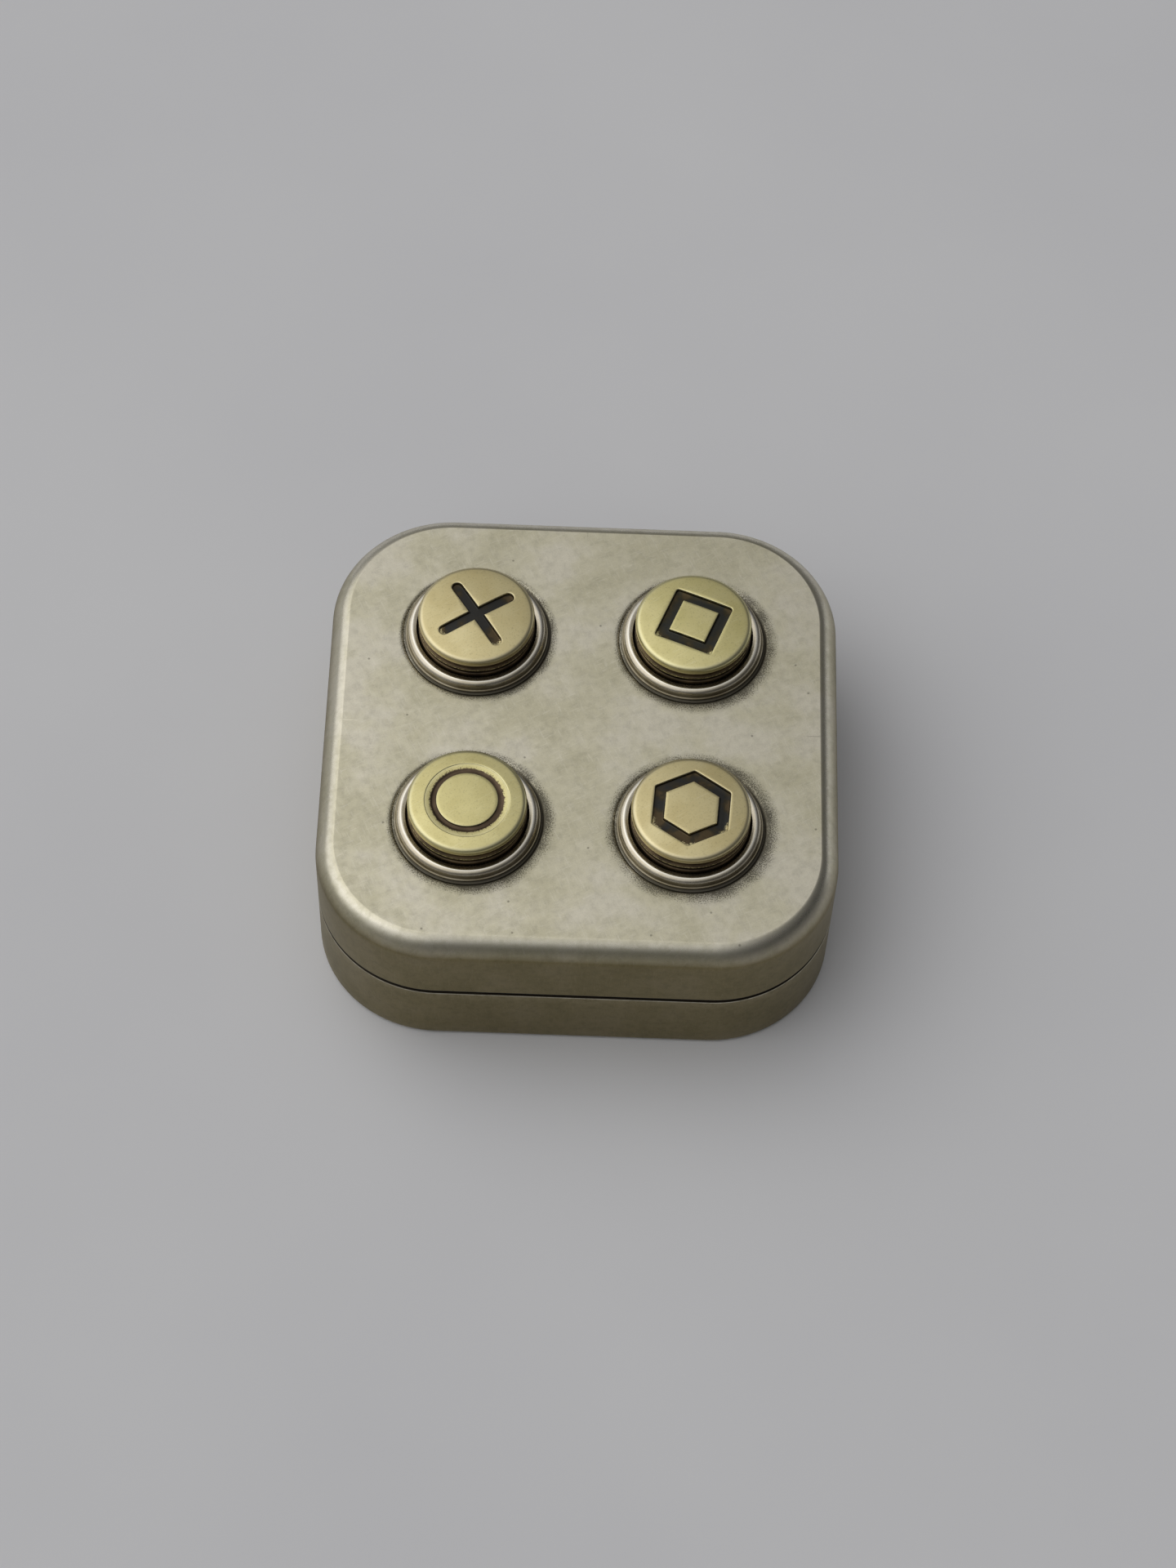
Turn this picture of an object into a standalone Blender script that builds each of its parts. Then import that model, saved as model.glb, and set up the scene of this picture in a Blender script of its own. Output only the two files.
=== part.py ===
"""A pocket push slider with four turning push buttons, modelled as it would come apart on a bench.

Two thick rounded-square metal halves are held face to face by magnets. The top half slides left and
right on the base, guided by two rails, and stops one magnet pitch to either side. Four turned brass
buttons stand in collars on the top half. Each one presses down on a coil spring and turns freely.

Everything is in metres, +Z up, +X right, -Y front. The origin is the middle of the underside.
"""

import math

import bmesh
import bpy
from mathutils import Matrix, Vector

MM = 0.001

# Clearances
FIT = 0.05 * MM  # a pressed or seated joint, drawn as a hairline
SEAT = 0.1 * MM  # a plate in its pocket, and end play along an axis
RUN = 0.15 * MM  # a piece that slides or turns in another

# The two halves
BODY_WIDTH = 40.0 * MM
CORNER_RADIUS = 9.5 * MM
BASE_HEIGHT = 6.6 * MM
SEAM_GAP = 0.25 * MM
TOP_HEIGHT = 6.65 * MM
SIDE_WALL = 1.5 * MM
ROOF = 1.5 * MM
EDGE_RADIUS = 2.0 * MM  # the round between the top face and the wall
EDGE_START = math.radians(17)  # that round meets the flat face at this angle, in a soft crease
FOOT_RADIUS = 0.5 * MM
SEAM_CHAMFER = 0.12 * MM

# Buttons, from the top down
BUTTON_SPACING = 17.0 * MM
BUTTON_RADIUS = 4.55 * MM
BUTTON_STAND = 2.85 * MM  # how far a button stands above the top face
BUTTON_TRAVEL = 1.6 * MM
BUTTON_EDGE = 0.4 * MM
HEAD_THICKNESS = 0.9 * MM
NECK_HEIGHT = 0.45 * MM
NECK_DEPTH = 0.4 * MM
CROWN_THICKNESS = 1.75 * MM  # metal between the button's face and the spring well inside it
FLANGE_THICKNESS = 0.9 * MM
FLANGE_STEP = 0.6 * MM  # how far the flange reaches under the roof, past the collar's bore
WELL_GAP = 0.3 * MM
COLLAR_BORE_GAP = 0.15 * MM
COLLAR_SHANK = 0.5 * MM
COLLAR_RIM = 0.4 * MM  # how far the collar's head laps over the top face
COLLAR_HEIGHT = 0.85 * MM
COLLAR_EDGE = 0.22 * MM
MARK_DEPTH = 0.4 * MM
MARK_STROKE = 0.8 * MM
MARK_REACH = 3.35 * MM  # centre to the tip of a mark
RING_RADIUS = 2.75 * MM  # outside of the ring mark
RING_STROKE = 0.4 * MM

# Spring and its washer
SPRING_RADIUS = 3.0 * MM
SPRING_WIRE = 0.25 * MM
SPRING_TURNS = 4.5
SPRING_CLOSED_TURNS = 0.75
SPRING_WELL_GAP = 0.4 * MM
WASHER_THICKNESS = 0.3 * MM
WASHER_BORE = 1.2 * MM
SPIGOT_HEIGHT = 1.0 * MM
SPIGOT_GAP = 0.3 * MM

# Plates, magnets, rails and screws
PLATE_THICKNESS = 2.2 * MM
PLATE_RECESS = 0.1 * MM  # a plate's face lies this far inside its half
MAGNET_RADIUS = 3.0 * MM
MAGNET_THICKNESS = 1.6 * MM
MAGNET_ROW_WEB = 3.0 * MM  # metal between the two rows
SLIDE_TRAVEL = 8.0 * MM  # one magnet pitch
RAIL_WIDTH = 2.0 * MM
RAIL_SINK = 1.0 * MM  # how far a rail is let into the carrier plate
RAIL_DROP = 1.35 * MM  # how far it reaches into the track
RAIL_WEB = 1.2 * MM
TRACK_END_WALL = 1.75 * MM
SCREW_RADIUS = 0.8 * MM
SCREW_HEAD_RADIUS = 1.9 * MM
SCREW_LENGTH = 4.0 * MM
SCREW_WEB = 1.2 * MM  # metal between a button well and a screw's hole
SCREW_TIP_GAP = 0.35 * MM
SOCKET_ACROSS_FLATS = 1.3 * MM
SOCKET_DEPTH = 0.6 * MM

# Facets
CORNER_STEPS = 6
ROUND_STEPS = 28
SMALL_STEPS = 16
SPRING_STEPS = 9

# Heights, from the underside up
SEAM_TOP = BASE_HEIGHT + SEAM_GAP
BODY_HEIGHT = SEAM_TOP + TOP_HEIGHT
TRACK_TOP = BASE_HEIGHT - PLATE_RECESS
TRACK_BOTTOM = TRACK_TOP - PLATE_THICKNESS
CARRIER_BOTTOM = SEAM_TOP + PLATE_RECESS
CARRIER_TOP = CARRIER_BOTTOM + PLATE_THICKNESS
ROOF_UNDERSIDE = BODY_HEIGHT - ROOF
BUTTON_TOP = BODY_HEIGHT + BUTTON_STAND
FLANGE_TOP = ROOF_UNDERSIDE - SEAT
FLANGE_BOTTOM = FLANGE_TOP - FLANGE_THICKNESS
SPRING_CEILING = BUTTON_TOP - CROWN_THICKNESS

# Radii around a button's axis, from the inside out
SPRING_WELL_RADIUS = SPRING_RADIUS + SPRING_WELL_GAP
WASHER_RADIUS = SPRING_WELL_RADIUS - RUN
SPIGOT_RADIUS = SPRING_RADIUS - 2 * SPRING_WIRE - SPIGOT_GAP
BUTTON_BODY_RADIUS = BUTTON_RADIUS - FIT
COLLAR_BORE = BUTTON_RADIUS + COLLAR_BORE_GAP
COLLAR_SHANK_RADIUS = COLLAR_BORE + COLLAR_SHANK
COLLAR_RADIUS = COLLAR_SHANK_RADIUS + COLLAR_RIM
FLANGE_RADIUS = COLLAR_BORE + FLANGE_STEP
WELL_RADIUS = FLANGE_RADIUS + WELL_GAP

# Places in plan
BUTTON_OFFSET = BUTTON_SPACING / 2
POCKET_HALF = BODY_WIDTH / 2 - SIDE_WALL
POCKET_CORNER = CORNER_RADIUS - SIDE_WALL
PLATE_HALF = POCKET_HALF - SEAT
PLATE_CORNER = POCKET_CORNER - SEAT
MAGNET_ROW = MAGNET_ROW_WEB / 2 + MAGNET_RADIUS
TRACK_HALF_WIDTH = RAIL_WIDTH / 2 + RUN
RAIL_ROW = MAGNET_ROW + MAGNET_RADIUS + FIT + RAIL_WEB + TRACK_HALF_WIDTH
TRACK_HALF_LENGTH = PLATE_HALF - TRACK_END_WALL
RAIL_HALF_LENGTH = TRACK_HALF_LENGTH - SLIDE_TRAVEL - RUN
PILOT_RADIUS = SCREW_RADIUS + FIT
SCREW_OFFSET = BUTTON_OFFSET + (WELL_RADIUS + SCREW_WEB + PILOT_RADIUS) / math.sqrt(2)

# Each button: name, the side it stands on, and how far its mark is turned
BUTTONS = (
    ("plus", -1, 1, math.radians(33.5)),
    ("square", 1, 1, math.radians(-21.5)),
    ("ring", -1, -1, 0.0),
    ("hexagon", 1, -1, math.radians(-4)),
)


def clear_scene():
    for thing in list(bpy.data.objects):
        bpy.data.objects.remove(thing)


def metal_or_plastic(name, color, roughness, metallic):
    """A Principled material of one plain colour."""
    material = bpy.data.materials.new(name)
    material.use_nodes = True
    shader = material.node_tree.nodes["Principled BSDF"]
    shader.inputs["Base Color"].default_value = (*color, 1.0)
    shader.inputs["Roughness"].default_value = roughness
    shader.inputs["Metallic"].default_value = metallic
    material.diffuse_color = (*color, 1.0)
    return material


# Outlines: closed lists of points in plan, anticlockwise


def circle(radius, steps, turn=0.0):
    angles = [turn + 2 * math.pi * k / steps for k in range(steps)]
    return [Vector((radius * math.cos(a), radius * math.sin(a))) for a in angles]


def round_cornered(half_x, half_y, radius, steps):
    """A rectangle whose four corners are arcs."""
    points = []
    for quarter, (side_x, side_y) in enumerate(((1, 1), (-1, 1), (-1, -1), (1, -1))):
        middle = Vector((side_x * (half_x - radius), side_y * (half_y - radius)))
        for step in range(steps + 1):
            angle = (quarter + step / steps) * math.pi / 2
            points.append(middle + radius * Vector((math.cos(angle), math.sin(angle))))
    return points


def slot(half_length, half_width):
    """A slot along X with round ends."""
    points = []
    for end, start in ((1, -math.pi / 2), (-1, math.pi / 2)):
        middle = Vector((end * (half_length - half_width), 0))
        for step in range(CORNER_STEPS + 1):
            angle = start + math.pi * step / CORNER_STEPS
            points.append(middle + half_width * Vector((math.cos(angle), math.sin(angle))))
    return points


# Solids


def mesh_object(name, mesh_maker, material=None, smooth_angle=math.radians(35)):
    """Puts a finished bmesh into an object of its own."""
    bmesh.ops.recalc_face_normals(mesh_maker, faces=mesh_maker.faces)
    mesh = bpy.data.meshes.new(name)
    mesh_maker.to_mesh(mesh)
    mesh_maker.free()
    mesh.shade_smooth()
    mesh.set_sharp_from_angle(angle=smooth_angle)
    if material:
        mesh.materials.append(material)
    made = bpy.data.objects.new(name, mesh)
    bpy.context.scene.collection.objects.link(made)
    return made


def loft(mesh_maker, levels, places=((0.0, 0.0),)):
    """Joins outlines of equal length, each at its own height, and caps the two ends.

    levels is [(outline, z), ...] from the bottom up. One closed body is made at each place.
    """
    for place in places:
        rings = [
            [mesh_maker.verts.new((p.x + place[0], p.y + place[1], z)) for p in outline]
            for outline, z in levels
        ]
        for low, high in zip(rings, rings[1:]):
            for k in range(len(low)):
                after = (k + 1) % len(low)
                mesh_maker.faces.new((low[k], low[after], high[after], high[k]))
        mesh_maker.faces.new(list(reversed(rings[0])))
        mesh_maker.faces.new(rings[-1])


def turned(mesh_maker, profile, steps, closed):
    """Spins a profile of (radius, z) about the Z axis. A closed profile makes a ring."""
    verts = [mesh_maker.verts.new((radius, 0.0, z)) for radius, z in profile]
    pairs = list(zip(verts, verts[1:]))
    if closed:
        pairs.append((verts[-1], verts[0]))
    edges = [mesh_maker.edges.new(pair) for pair in pairs]
    bmesh.ops.spin(
        mesh_maker,
        geom=verts + edges,
        cent=(0, 0, 0),
        axis=(0, 0, 1),
        angle=2 * math.pi,
        steps=steps,
        use_duplicate=False,
    )
    bmesh.ops.remove_doubles(mesh_maker, verts=mesh_maker.verts, dist=0.001 * MM)


def cutter(name, levels, places=((0.0, 0.0),)):
    """A hidden helper solid, or several of the same shape, for a Boolean."""
    mesh_maker = bmesh.new()
    loft(mesh_maker, levels, places)
    made = mesh_object(name, mesh_maker)
    made.hide_render = True
    made.display_type = "WIRE"
    return made


def boolean(target, tool, operation="DIFFERENCE"):
    modifier = target.modifiers.new(tool.name, "BOOLEAN")
    modifier.object = tool
    modifier.operation = operation
    modifier.solver = "EXACT"


def four_corners(offset_x, offset_y):
    return [(x * offset_x, y * offset_y) for y in (1, -1) for x in (-1, 1)]


# The base half


def base_shell(material):
    """The lower casing: a thick tray with a rounded foot, a bright break at its rim and a plate pocket."""
    half = BODY_WIDTH / 2
    levels = []
    for step in range(4):
        angle = math.pi / 2 * step / 3
        inset = FOOT_RADIUS * (1 - math.sin(angle))
        outline = round_cornered(half - inset, half - inset, CORNER_RADIUS - inset, CORNER_STEPS)
        levels.append((outline, FOOT_RADIUS * (1 - math.cos(angle))))
    levels.append((round_cornered(half, half, CORNER_RADIUS, CORNER_STEPS), BASE_HEIGHT - SEAM_CHAMFER))
    rim = half - SEAM_CHAMFER
    levels.append((round_cornered(rim, rim, CORNER_RADIUS - SEAM_CHAMFER, CORNER_STEPS), BASE_HEIGHT))
    mesh_maker = bmesh.new()
    loft(mesh_maker, levels)
    shell = mesh_object("base_shell", mesh_maker, material)

    pocket = round_cornered(POCKET_HALF, POCKET_HALF, POCKET_CORNER, CORNER_STEPS)
    floor = TRACK_BOTTOM - SEAT
    boolean(shell, cutter("cut_base_pocket", [(pocket, floor), (pocket, BASE_HEIGHT + MM)]))
    pilot = circle(PILOT_RADIUS, SMALL_STEPS)
    tip = TRACK_TOP - FIT - SCREW_LENGTH - SCREW_TIP_GAP
    places = four_corners(SCREW_OFFSET, SCREW_OFFSET)
    boolean(shell, cutter("cut_base_pilots", [(pilot, tip), (pilot, floor + MM)], places))
    return shell


def plate(name, low, high, material):
    outline = round_cornered(PLATE_HALF, PLATE_HALF, PLATE_CORNER, CORNER_STEPS)
    mesh_maker = bmesh.new()
    loft(mesh_maker, [(outline, low), (outline, high)])
    return mesh_object(name, mesh_maker, material)


def magnet_places():
    return [(column * SLIDE_TRAVEL, row * MAGNET_ROW) for row in (1, -1) for column in (-1, 0, 1)]


def screw_seat(name, target, face, into):
    """Countersunk holes through a plate. face is the height of the plate's sliding face, into is -1 or 1."""
    head = SCREW_HEAD_RADIUS + FIT
    hole = SCREW_RADIUS + FIT
    past = face - into * SEAT
    cone_end = face + into * (FIT + head - hole)
    levels = [
        (circle(head, SMALL_STEPS), past),
        (circle(head, SMALL_STEPS), face + into * FIT),
        (circle(hole, SMALL_STEPS), cone_end),
        (circle(hole, SMALL_STEPS), face + into * (PLATE_THICKNESS + MM)),
    ]
    if into < 0:
        levels.reverse()
    boolean(target, cutter(name, levels, four_corners(SCREW_OFFSET, SCREW_OFFSET)))


def track_plate(material):
    """The base's steel plate: magnet pockets, two blind tracks for the rails and four screw holes."""
    made = plate("track_plate", TRACK_BOTTOM, TRACK_TOP, material)
    pocket = circle(MAGNET_RADIUS + FIT, SMALL_STEPS)
    depth = TRACK_TOP - MAGNET_THICKNESS - SEAT
    above = TRACK_TOP + MM
    boolean(made, cutter("cut_base_magnets", [(pocket, depth), (pocket, above)], magnet_places()))
    track = slot(TRACK_HALF_LENGTH, TRACK_HALF_WIDTH)
    floor = CARRIER_BOTTOM - RAIL_DROP - SEAT
    places = [(0, RAIL_ROW), (0, -RAIL_ROW)]
    boolean(made, cutter("cut_tracks", [(track, floor), (track, above)], places))
    screw_seat("cut_base_screws", made, TRACK_TOP, -1)
    return made


# The top half


def top_shell(material):
    """The upper casing: a thick cap with a large soft edge, a plate pocket below and four stepped bores."""
    half = BODY_WIDTH / 2
    lift = EDGE_RADIUS * math.cos(EDGE_START)
    rim = half - SEAM_CHAMFER
    levels = [
        (round_cornered(rim, rim, CORNER_RADIUS - SEAM_CHAMFER, CORNER_STEPS), SEAM_TOP),
        (round_cornered(half, half, CORNER_RADIUS, CORNER_STEPS), SEAM_TOP + SEAM_CHAMFER),
    ]
    for step in range(7):
        angle = math.pi / 2 + (EDGE_START - math.pi / 2) * step / 6
        inset = EDGE_RADIUS * (1 - math.sin(angle))
        outline = round_cornered(half - inset, half - inset, CORNER_RADIUS - inset, CORNER_STEPS)
        levels.append((outline, BODY_HEIGHT - lift + EDGE_RADIUS * math.cos(angle)))
    mesh_maker = bmesh.new()
    loft(mesh_maker, levels)
    shell = mesh_object("top_shell", mesh_maker, material, math.radians(14))

    pocket = round_cornered(POCKET_HALF, POCKET_HALF, POCKET_CORNER, CORNER_STEPS)
    ceiling = CARRIER_TOP + SEAT
    boolean(shell, cutter("cut_top_pocket", [(pocket, SEAM_TOP - MM), (pocket, ceiling)]))
    places = four_corners(BUTTON_OFFSET, BUTTON_OFFSET)
    well = circle(WELL_RADIUS, ROUND_STEPS)
    boolean(shell, cutter("cut_wells", [(well, ceiling - MM), (well, ROOF_UNDERSIDE)], places))
    bore = circle(COLLAR_SHANK_RADIUS + FIT, ROUND_STEPS)
    above = BODY_HEIGHT + MM
    boolean(shell, cutter("cut_bores", [(bore, ROOF_UNDERSIDE - MM), (bore, above)], places))
    pilot = circle(PILOT_RADIUS, SMALL_STEPS)
    tip = CARRIER_BOTTOM + FIT + SCREW_LENGTH + SCREW_TIP_GAP
    corners = four_corners(SCREW_OFFSET, SCREW_OFFSET)
    boolean(shell, cutter("cut_top_pilots", [(pilot, ceiling - MM), (pilot, tip)], corners))
    return shell


def carrier_plate(material):
    """The top half's plate: it holds the magnets and rails, and a spigot that centres each spring."""
    made = plate("carrier_plate", CARRIER_BOTTOM, CARRIER_TOP, material)
    places = four_corners(BUTTON_OFFSET, BUTTON_OFFSET)
    spigot = circle(SPIGOT_RADIUS, SMALL_STEPS)
    root = CARRIER_TOP - PLATE_THICKNESS / 8
    levels = [(spigot, root), (spigot, CARRIER_TOP + SPIGOT_HEIGHT)]
    boolean(made, cutter("add_spigots", levels, places), "UNION")
    pocket = circle(MAGNET_RADIUS + FIT, SMALL_STEPS)
    depth = CARRIER_BOTTOM + MAGNET_THICKNESS + SEAT
    below = CARRIER_BOTTOM - MM
    boolean(made, cutter("cut_top_magnets", [(pocket, below), (pocket, depth)], magnet_places()))
    seat = slot(RAIL_HALF_LENGTH + FIT, RAIL_WIDTH / 2 + FIT)
    levels = [(seat, below), (seat, CARRIER_BOTTOM + RAIL_SINK + FIT)]
    boolean(made, cutter("cut_rail_seats", levels, [(0, RAIL_ROW), (0, -RAIL_ROW)]))
    screw_seat("cut_top_screws", made, CARRIER_BOTTOM, 1)
    return made


def guide_rail(name, side, material):
    """A low-friction bar let into the carrier plate. It runs in the track and ends the slide's travel."""
    bar = slot(RAIL_HALF_LENGTH, RAIL_WIDTH / 2)
    mesh_maker = bmesh.new()
    loft(mesh_maker, [(bar, -RAIL_DROP), (bar, RAIL_SINK)])
    rail = mesh_object(name, mesh_maker, material)
    rail.location = (0, side * RAIL_ROW, CARRIER_BOTTOM)
    return rail


# Pieces that are used many times


def magnet_mesh():
    disc = circle(MAGNET_RADIUS, SMALL_STEPS)
    mesh_maker = bmesh.new()
    loft(mesh_maker, [(disc, 0.0), (disc, MAGNET_THICKNESS)])
    return mesh_maker


def magnets(prefix, low, material):
    for number, place in enumerate(magnet_places(), 1):
        made = mesh_object(f"{prefix}_{number}", magnet_mesh(), material)
        made.location = (*place, low)


def screw(name, place, face, into, material):
    """A countersunk socket screw. Its head lies just under the plate's sliding face."""
    profile = (
        (0.0, 0.0),
        (SCREW_HEAD_RADIUS, 0.0),
        (SCREW_RADIUS, -(SCREW_HEAD_RADIUS - SCREW_RADIUS)),
        (SCREW_RADIUS, -SCREW_LENGTH),
        (0.0, -SCREW_LENGTH),
    )
    mesh_maker = bmesh.new()
    turned(mesh_maker, profile, SMALL_STEPS, closed=False)
    made = mesh_object(name, mesh_maker, material)
    socket = circle(SOCKET_ACROSS_FLATS / math.sqrt(3), 6)
    tool = cutter(f"cut_{name}", [(socket, -SOCKET_DEPTH), (socket, MM)])
    tool.parent = made
    boolean(made, tool)
    made.location = (*place, face + into * SEAT)
    if into > 0:
        made.rotation_euler = (math.pi, 0, 0)
    return made


def screws(prefix, face, into, material):
    for number, place in enumerate(four_corners(SCREW_OFFSET, SCREW_OFFSET), 1):
        screw(f"{prefix}_{number}", place, face, into, material)


# Buttons and what moves with them


def button_profile():
    """Half the section of a button, from the middle of its face to the roof of its spring well."""
    shoulder = BUTTON_RADIUS - BUTTON_EDGE
    profile = [(0.0, BUTTON_TOP)]
    for step in range(4):
        angle = math.pi / 2 * step / 3
        radius = shoulder + BUTTON_EDGE * math.sin(angle)
        profile.append((radius, BUTTON_TOP - BUTTON_EDGE * (1 - math.cos(angle))))
    head_bottom = BUTTON_TOP - HEAD_THICKNESS
    neck_bottom = head_bottom - NECK_HEIGHT
    profile += [
        (BUTTON_RADIUS, head_bottom),
        (BUTTON_RADIUS - NECK_DEPTH, head_bottom),
        (BUTTON_RADIUS - NECK_DEPTH, neck_bottom),
        (BUTTON_BODY_RADIUS, neck_bottom),
        (BUTTON_BODY_RADIUS, FLANGE_TOP),
        (FLANGE_RADIUS, FLANGE_TOP),
        (FLANGE_RADIUS, FLANGE_BOTTOM),
        (SPRING_WELL_RADIUS, FLANGE_BOTTOM),
        (SPRING_WELL_RADIUS, SPRING_CEILING),
        (0.0, SPRING_CEILING),
    ]
    return profile


def mark_outlines(kind):
    """The mark cut in a button's face: its outer outlines and the outlines of what stays standing."""
    if kind == "plus":
        bar = slot(MARK_REACH, MARK_STROKE / 2)
        crossing = [Vector((-point.y, point.x)) for point in bar]
        return [bar, crossing], []
    if kind == "ring":
        return [circle(RING_RADIUS, ROUND_STEPS)], [circle(RING_RADIUS - RING_STROKE, ROUND_STEPS)]
    if kind == "square":
        half = MARK_REACH / math.sqrt(2)
        corner = MARK_STROKE / 4
        outer = round_cornered(half, half, corner, 3)
        inner = half - MARK_STROKE
        return [outer], [round_cornered(inner, inner, corner / 2, 3)]
    return [circle(MARK_REACH, 6)], [circle(MARK_REACH - MARK_STROKE * 2 / math.sqrt(3), 6)]


def cut_mark(button, kind, turn):
    """Engraves the mark. Each island inside it is kept by cutting it out of the tool first."""
    floor = BUTTON_TOP - MARK_DEPTH
    outers, islands = mark_outlines(kind)
    for number, outline in enumerate(outers):
        tool = cutter(f"cut_{kind}_{number}", [(outline, floor), (outline, BUTTON_TOP + MM)])
        tool.parent = button
        tool.rotation_euler = (0, 0, turn)
        for island in islands:
            levels = [(island, floor - MM), (island, BUTTON_TOP + 2 * MM)]
            keep = cutter(f"keep_{kind}", levels)
            keep.parent = button
            keep.rotation_euler = (0, 0, turn)
            boolean(tool, keep)
        boolean(button, tool)


def button(kind, place, turn, material):
    mesh_maker = bmesh.new()
    turned(mesh_maker, button_profile(), ROUND_STEPS, closed=False)
    made = mesh_object(f"button_{kind}", mesh_maker, material)
    made.location = (*place, 0)
    cut_mark(made, kind, turn)
    return made


def collar(kind, place, material):
    """The bushing that a button runs in: its shank is pressed into the roof, its head laps over the face."""
    foot = ROOF_UNDERSIDE + FIT
    lap = BODY_HEIGHT + FIT
    top = BODY_HEIGHT + COLLAR_HEIGHT
    profile = [
        (COLLAR_BORE, foot),
        (COLLAR_SHANK_RADIUS, foot),
        (COLLAR_SHANK_RADIUS, lap),
        (COLLAR_RADIUS, lap),
        (COLLAR_RADIUS, top - COLLAR_EDGE),
        (COLLAR_RADIUS - COLLAR_EDGE, top),
        (COLLAR_BORE + COLLAR_EDGE / 2, top),
        (COLLAR_BORE, top - COLLAR_EDGE / 2),
    ]
    mesh_maker = bmesh.new()
    turned(mesh_maker, profile, ROUND_STEPS, closed=True)
    made = mesh_object(f"collar_{kind}", mesh_maker, material)
    made.location = (*place, 0)
    return made


def washer(kind, place, material):
    """The thrust washer on top of a spring. It goes down with the button but doesn't turn with it."""
    top = SPRING_CEILING - SEAT
    low = top - WASHER_THICKNESS
    profile = [(WASHER_BORE, low), (WASHER_RADIUS, low), (WASHER_RADIUS, top), (WASHER_BORE, top)]
    mesh_maker = bmesh.new()
    turned(mesh_maker, profile, SMALL_STEPS, closed=True)
    made = mesh_object(f"washer_{kind}", mesh_maker, material)
    made.location = (*place, 0)
    return made


def spring_rise(turns):
    """How far up its coil, from 0 to 1, a spring is after so many turns. Its end turns are nearly closed."""
    closed = SPRING_CLOSED_TURNS
    end_rise = 2.2 * SPRING_WIRE * closed
    length = spring_length() - 2 * SPRING_WIRE
    if turns <= closed:
        return end_rise * turns / closed / length
    if turns >= SPRING_TURNS - closed:
        return 1 - end_rise * (SPRING_TURNS - turns) / closed / length
    share = (turns - closed) / (SPRING_TURNS - 2 * closed)
    return (end_rise + share * (length - 2 * end_rise)) / length


def spring_length():
    """From the carrier plate to the washer, with end play."""
    return SPRING_CEILING - SEAT - WASHER_THICKNESS - SEAT - (CARRIER_TOP + SEAT)


def spring(kind, place, material):
    """A compression spring: one round wire wound about the button's axis."""
    curve = bpy.data.curves.new(f"spring_{kind}", "CURVE")
    curve.dimensions = "3D"
    curve.bevel_depth = SPRING_WIRE
    curve.bevel_resolution = 1
    curve.use_fill_caps = True
    spline = curve.splines.new("POLY")
    count = round(SPRING_TURNS * SPRING_STEPS)
    spline.points.add(count)
    low = CARRIER_TOP + SEAT + SPRING_WIRE
    length = spring_length() - 2 * SPRING_WIRE
    middle = SPRING_RADIUS - SPRING_WIRE
    for step, point in enumerate(spline.points):
        turns = SPRING_TURNS * step / count
        angle = 2 * math.pi * turns
        height = low + length * spring_rise(turns)
        point.co = (middle * math.cos(angle), middle * math.sin(angle), height, 1.0)
    curve.materials.append(material)
    made = bpy.data.objects.new(f"spring_{kind}", curve)
    bpy.context.scene.collection.objects.link(made)
    made.location = (*place, 0)
    return made


def main():
    clear_scene()
    nickel_silver = metal_or_plastic("nickel silver, aged", (0.50, 0.48, 0.38), 0.4, 1.0)
    ring_steel = metal_or_plastic("stainless steel, turned", (0.55, 0.53, 0.50), 0.3, 1.0)
    brass_warm = metal_or_plastic("brass, warm", (0.58, 0.48, 0.26), 0.35, 1.0)
    brass_green = metal_or_plastic("brass, green", (0.55, 0.52, 0.22), 0.35, 1.0)
    plate_steel = metal_or_plastic("stainless steel, ground", (0.45, 0.45, 0.46), 0.35, 1.0)
    magnet_plating = metal_or_plastic("bright nickel plating", (0.66, 0.65, 0.62), 0.15, 1.0)
    black_oxide = metal_or_plastic("black oxide screw steel", (0.05, 0.05, 0.055), 0.4, 1.0)
    spring_steel = metal_or_plastic("spring wire", (0.40, 0.40, 0.41), 0.3, 1.0)
    acetal = metal_or_plastic("acetal, natural", (0.78, 0.76, 0.70), 0.5, 0.0)

    base_shell(nickel_silver)
    track_plate(plate_steel)
    magnets("base_magnet", TRACK_TOP - FIT - MAGNET_THICKNESS, magnet_plating)
    screws("base_screw", TRACK_TOP, -1, black_oxide)

    top_shell(nickel_silver)
    carrier_plate(plate_steel)
    magnets("top_magnet", CARRIER_BOTTOM + FIT, magnet_plating)
    screws("top_screw", CARRIER_BOTTOM, 1, black_oxide)
    guide_rail("guide_rail_rear", 1, acetal)
    guide_rail("guide_rail_front", -1, acetal)

    for kind, side_x, side_y, turn in BUTTONS:
        place = (side_x * BUTTON_OFFSET, side_y * BUTTON_OFFSET)
        brass = brass_warm if kind in ("plus", "hexagon") else brass_green
        button(kind, place, turn, brass)
        collar(kind, place, ring_steel)
        washer(kind, place, acetal)
        spring(kind, place, spring_steel)


main()
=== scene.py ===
# %% [markdown]
# # A pocket push slider with four turning push buttons
#
# The object is a palm-sized metal toy. Two thick rounded-square halves lie face to face and slide on
# each other, and four brass buttons stand in polished collars on the upper one. The lesson builds its
# finished surface piece by piece, with numpy grids and procedural metals.
#
# The frame already holds every part at its true size and place. A finished piece takes its place from
# the frame's boxes, rides on the frame's body of the same motion, and hides the plain CAD part.

# %% Load the frame
import math
from functools import partial

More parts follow.
